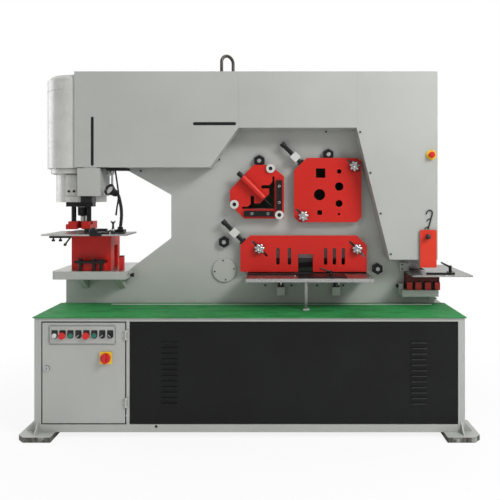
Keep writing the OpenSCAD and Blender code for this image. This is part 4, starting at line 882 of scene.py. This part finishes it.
def bead(start, end, radius):
    """A fillet weld: a round bead whose ripples follow its length."""
    pitch, sides = 0.006, 8
    start, end = Vector(start), Vector(end)
    count = max(2, round((end - start).length / pitch * 2))
    part = bmesh.new()
    along = (end - start).normalized()
    side = Vector((0, 0, 1)) if abs(along.z) < 0.9 else Vector((0, 1, 0))
    side = (side - side.dot(along) * along).normalized()
    rings = []
    for k in range(count + 1):
        swell = radius * (0.5 if k in (0, count) else 1.0 if k % 2 else 0.86)
        middle = start + (end - start) * (k / count)
        rings.append(ring(part, middle, swell, side, along.cross(side), sides))
    loft(part, rings)
    part.faces.new(rings[0])
    part.faces.new(rings[-1])
    return part


beads = bmesh.new()
join(beads, bead((-0.930, frame_face, 0.7125), (1.183, frame_face, 0.7125), 0.0045))
join(beads, bead((1.178, PLATE_FACE - 0.0005, 0.7145), (1.178, PLATE_FACE - 0.0005, 0.7680), 0.0040))
piece("weld_beads", beads, MATERIALS["machine_paint"], "machine")

# ---- Stage ----

FLOOR_SIZE = 40
WHITE = (1, 1, 1, 1)
FLOOR_GREY = (0.86, 0.86, 0.86, 1)
FLOOR_WHITE_NEAR = 0.86  # share of plain white in the floor under the machine
SHADOW_X, SHADOW_Y = 1.9, 1.2  # half axes of the oval in which the shadow shows
AMBIENT = 0.36
AMBIENT_LEAN = (0.10, 0, 0.18)
FRONT_WHITE, BACK_WHITE = 0.0, 0.85  # how white the room is to reflections


def straight_rays(tree, path):
    """1 for rays from the camera, also through glass."""
    return combine(tree, "MAXIMUM", path.outputs["Is Camera Ray"], path.outputs["Is Transmission Ray"])


def whiten(tree, seen, lit, kind, output):
    """Shows plain white to the rays that seen picks out, and the lit shader to the rest."""
    white = add_node(tree, kind)
    white.inputs["Color"].default_value = WHITE
    white.inputs["Strength"].default_value = 1
    mix = add_node(tree, "MixShader")
    tree.links.new(seen, mix.inputs["Fac"])
    tree.links.new(lit.outputs[0], mix.inputs[1])
    tree.links.new(white.outputs[0], mix.inputs[2])
    tree.links.new(mix.outputs[0], tree.nodes[output].inputs["Surface"])


def make_floor():
    """A pale floor that keeps most of its white to the camera and a soft shadow under the machine."""
    mesh = bpy.data.meshes.new("floor")
    half = FLOOR_SIZE / 2
    mesh.from_pydata([(-half, -half, 0), (half, -half, 0), (half, half, 0), (-half, half, 0)], [],
                     [(0, 1, 2, 3)])
    floor = bpy.data.objects.new("floor", mesh)
    scene.collection.objects.link(floor)
    material = bpy.data.materials.new("floor")
    material.use_nodes = True
    tree = material.node_tree
    shader = tree.nodes["Principled BSDF"]
    shader.inputs["Base Color"].default_value = FLOOR_GREY
    shader.inputs["Roughness"].default_value = 0.9
    # The shadow shows near the machine only, and the floor is plain white from two metres out.
    away = add_node(tree, "VectorMath", operation="MULTIPLY")
    away.inputs[1].default_value = (1 / SHADOW_X, 1 / SHADOW_Y, 0)
    tree.links.new(add_node(tree, "TexCoord").outputs["Object"], away.inputs[0])
    distance = add_node(tree, "VectorMath", operation="LENGTH")
    tree.links.new(away.outputs[0], distance.inputs[0])
    fade = remap(tree, distance.outputs["Value"], 0.8, 1.7, FLOOR_WHITE_NEAR, 1.0,
                 interpolation_type="SMOOTHSTEP")
    direct = straight_rays(tree, add_node(tree, "LightPath"))
    whiten(tree, combine(tree, "MULTIPLY", direct, fade), shader, "Emission", "Material Output")
    mesh.materials.append(material)


def make_world():
    """A studio that is white to the camera, and lights the object more from above and the right."""
    world = bpy.data.worlds.new("studio")
    scene.world = world
    world.use_nodes = True
    tree = world.node_tree
    ambient = tree.nodes["Background"]
    ambient.inputs["Color"].default_value = WHITE
    way = add_node(tree, "TexCoord").outputs["Generated"]
    lean = add_node(tree, "VectorMath", operation="DOT_PRODUCT")
    lean.inputs[1].default_value = AMBIENT_LEAN
    tree.links.new(way, lean.inputs[0])
    level = add_node(tree, "Math", operation="ADD")
    level.inputs[1].default_value = AMBIENT
    tree.links.new(lean.outputs["Value"], level.inputs[0])
    tree.links.new(level.outputs[0], ambient.inputs["Strength"])
    # Reflections see the white studio at the sides, above and behind, and a dimmer room in front.
    parts = add_node(tree, "SeparateXYZ")
    tree.links.new(way, parts.inputs[0])
    room = remap(tree, parts.outputs["Y"], -0.95, -0.25, FRONT_WHITE, BACK_WHITE)
    path = add_node(tree, "LightPath")
    glossy = combine(tree, "MULTIPLY", path.outputs["Is Glossy Ray"], room)
    seen = combine(tree, "MAXIMUM", straight_rays(tree, path), glossy)
    whiten(tree, seen, ambient, "Background", "World Output")


def area_light(name, place, aim, size, power):
    """A rectangular light at a place, turned to a point."""
    light = bpy.data.lights.new(name, "AREA")
    light.shape = "RECTANGLE"
    light.size, light.size_y = size
    light.energy = power
    lamp = bpy.data.objects.new(name, light)
    lamp.location = place
    lamp.rotation_euler = (Vector(aim) - Vector(place)).to_track_quat("-Z", "Y").to_euler()
    scene.collection.objects.link(lamp)


def make_camera():
    """The photograph's view: level, straight on, a little right of the machine's middle."""
    data = bpy.data.cameras.new("camera")
    data.sensor_width = 36
    data.lens = 40.5
    data.shift_x = -0.052
    data.shift_y = -0.11
    camera = bpy.data.objects.new("camera", data)
    camera.location = (0.156, -3.78, 1.434)
    camera.rotation_euler = (math.pi / 2, 0, 0)
    scene.collection.objects.link(camera)
    scene.camera = camera


scene.view_settings.view_transform = "Standard"
make_floor()
make_world()
area_light("key", (3.6, -3.2, 4.4), (-0.1, 0, 1.2), (2.0, 1.6), 205)
area_light("fill", (-3.6, -4.4, 2.2), (0, 0, 0.9), (3, 3), 20)
area_light("top", (0.6, 0.2, 5.5), (0, 0, 0), (4, 3), 45)
area_light("rim", (-3.6, 0.7, 2.2), (-1.3, 0.1, 1.5), (1.5, 2.5), 32)
make_camera()
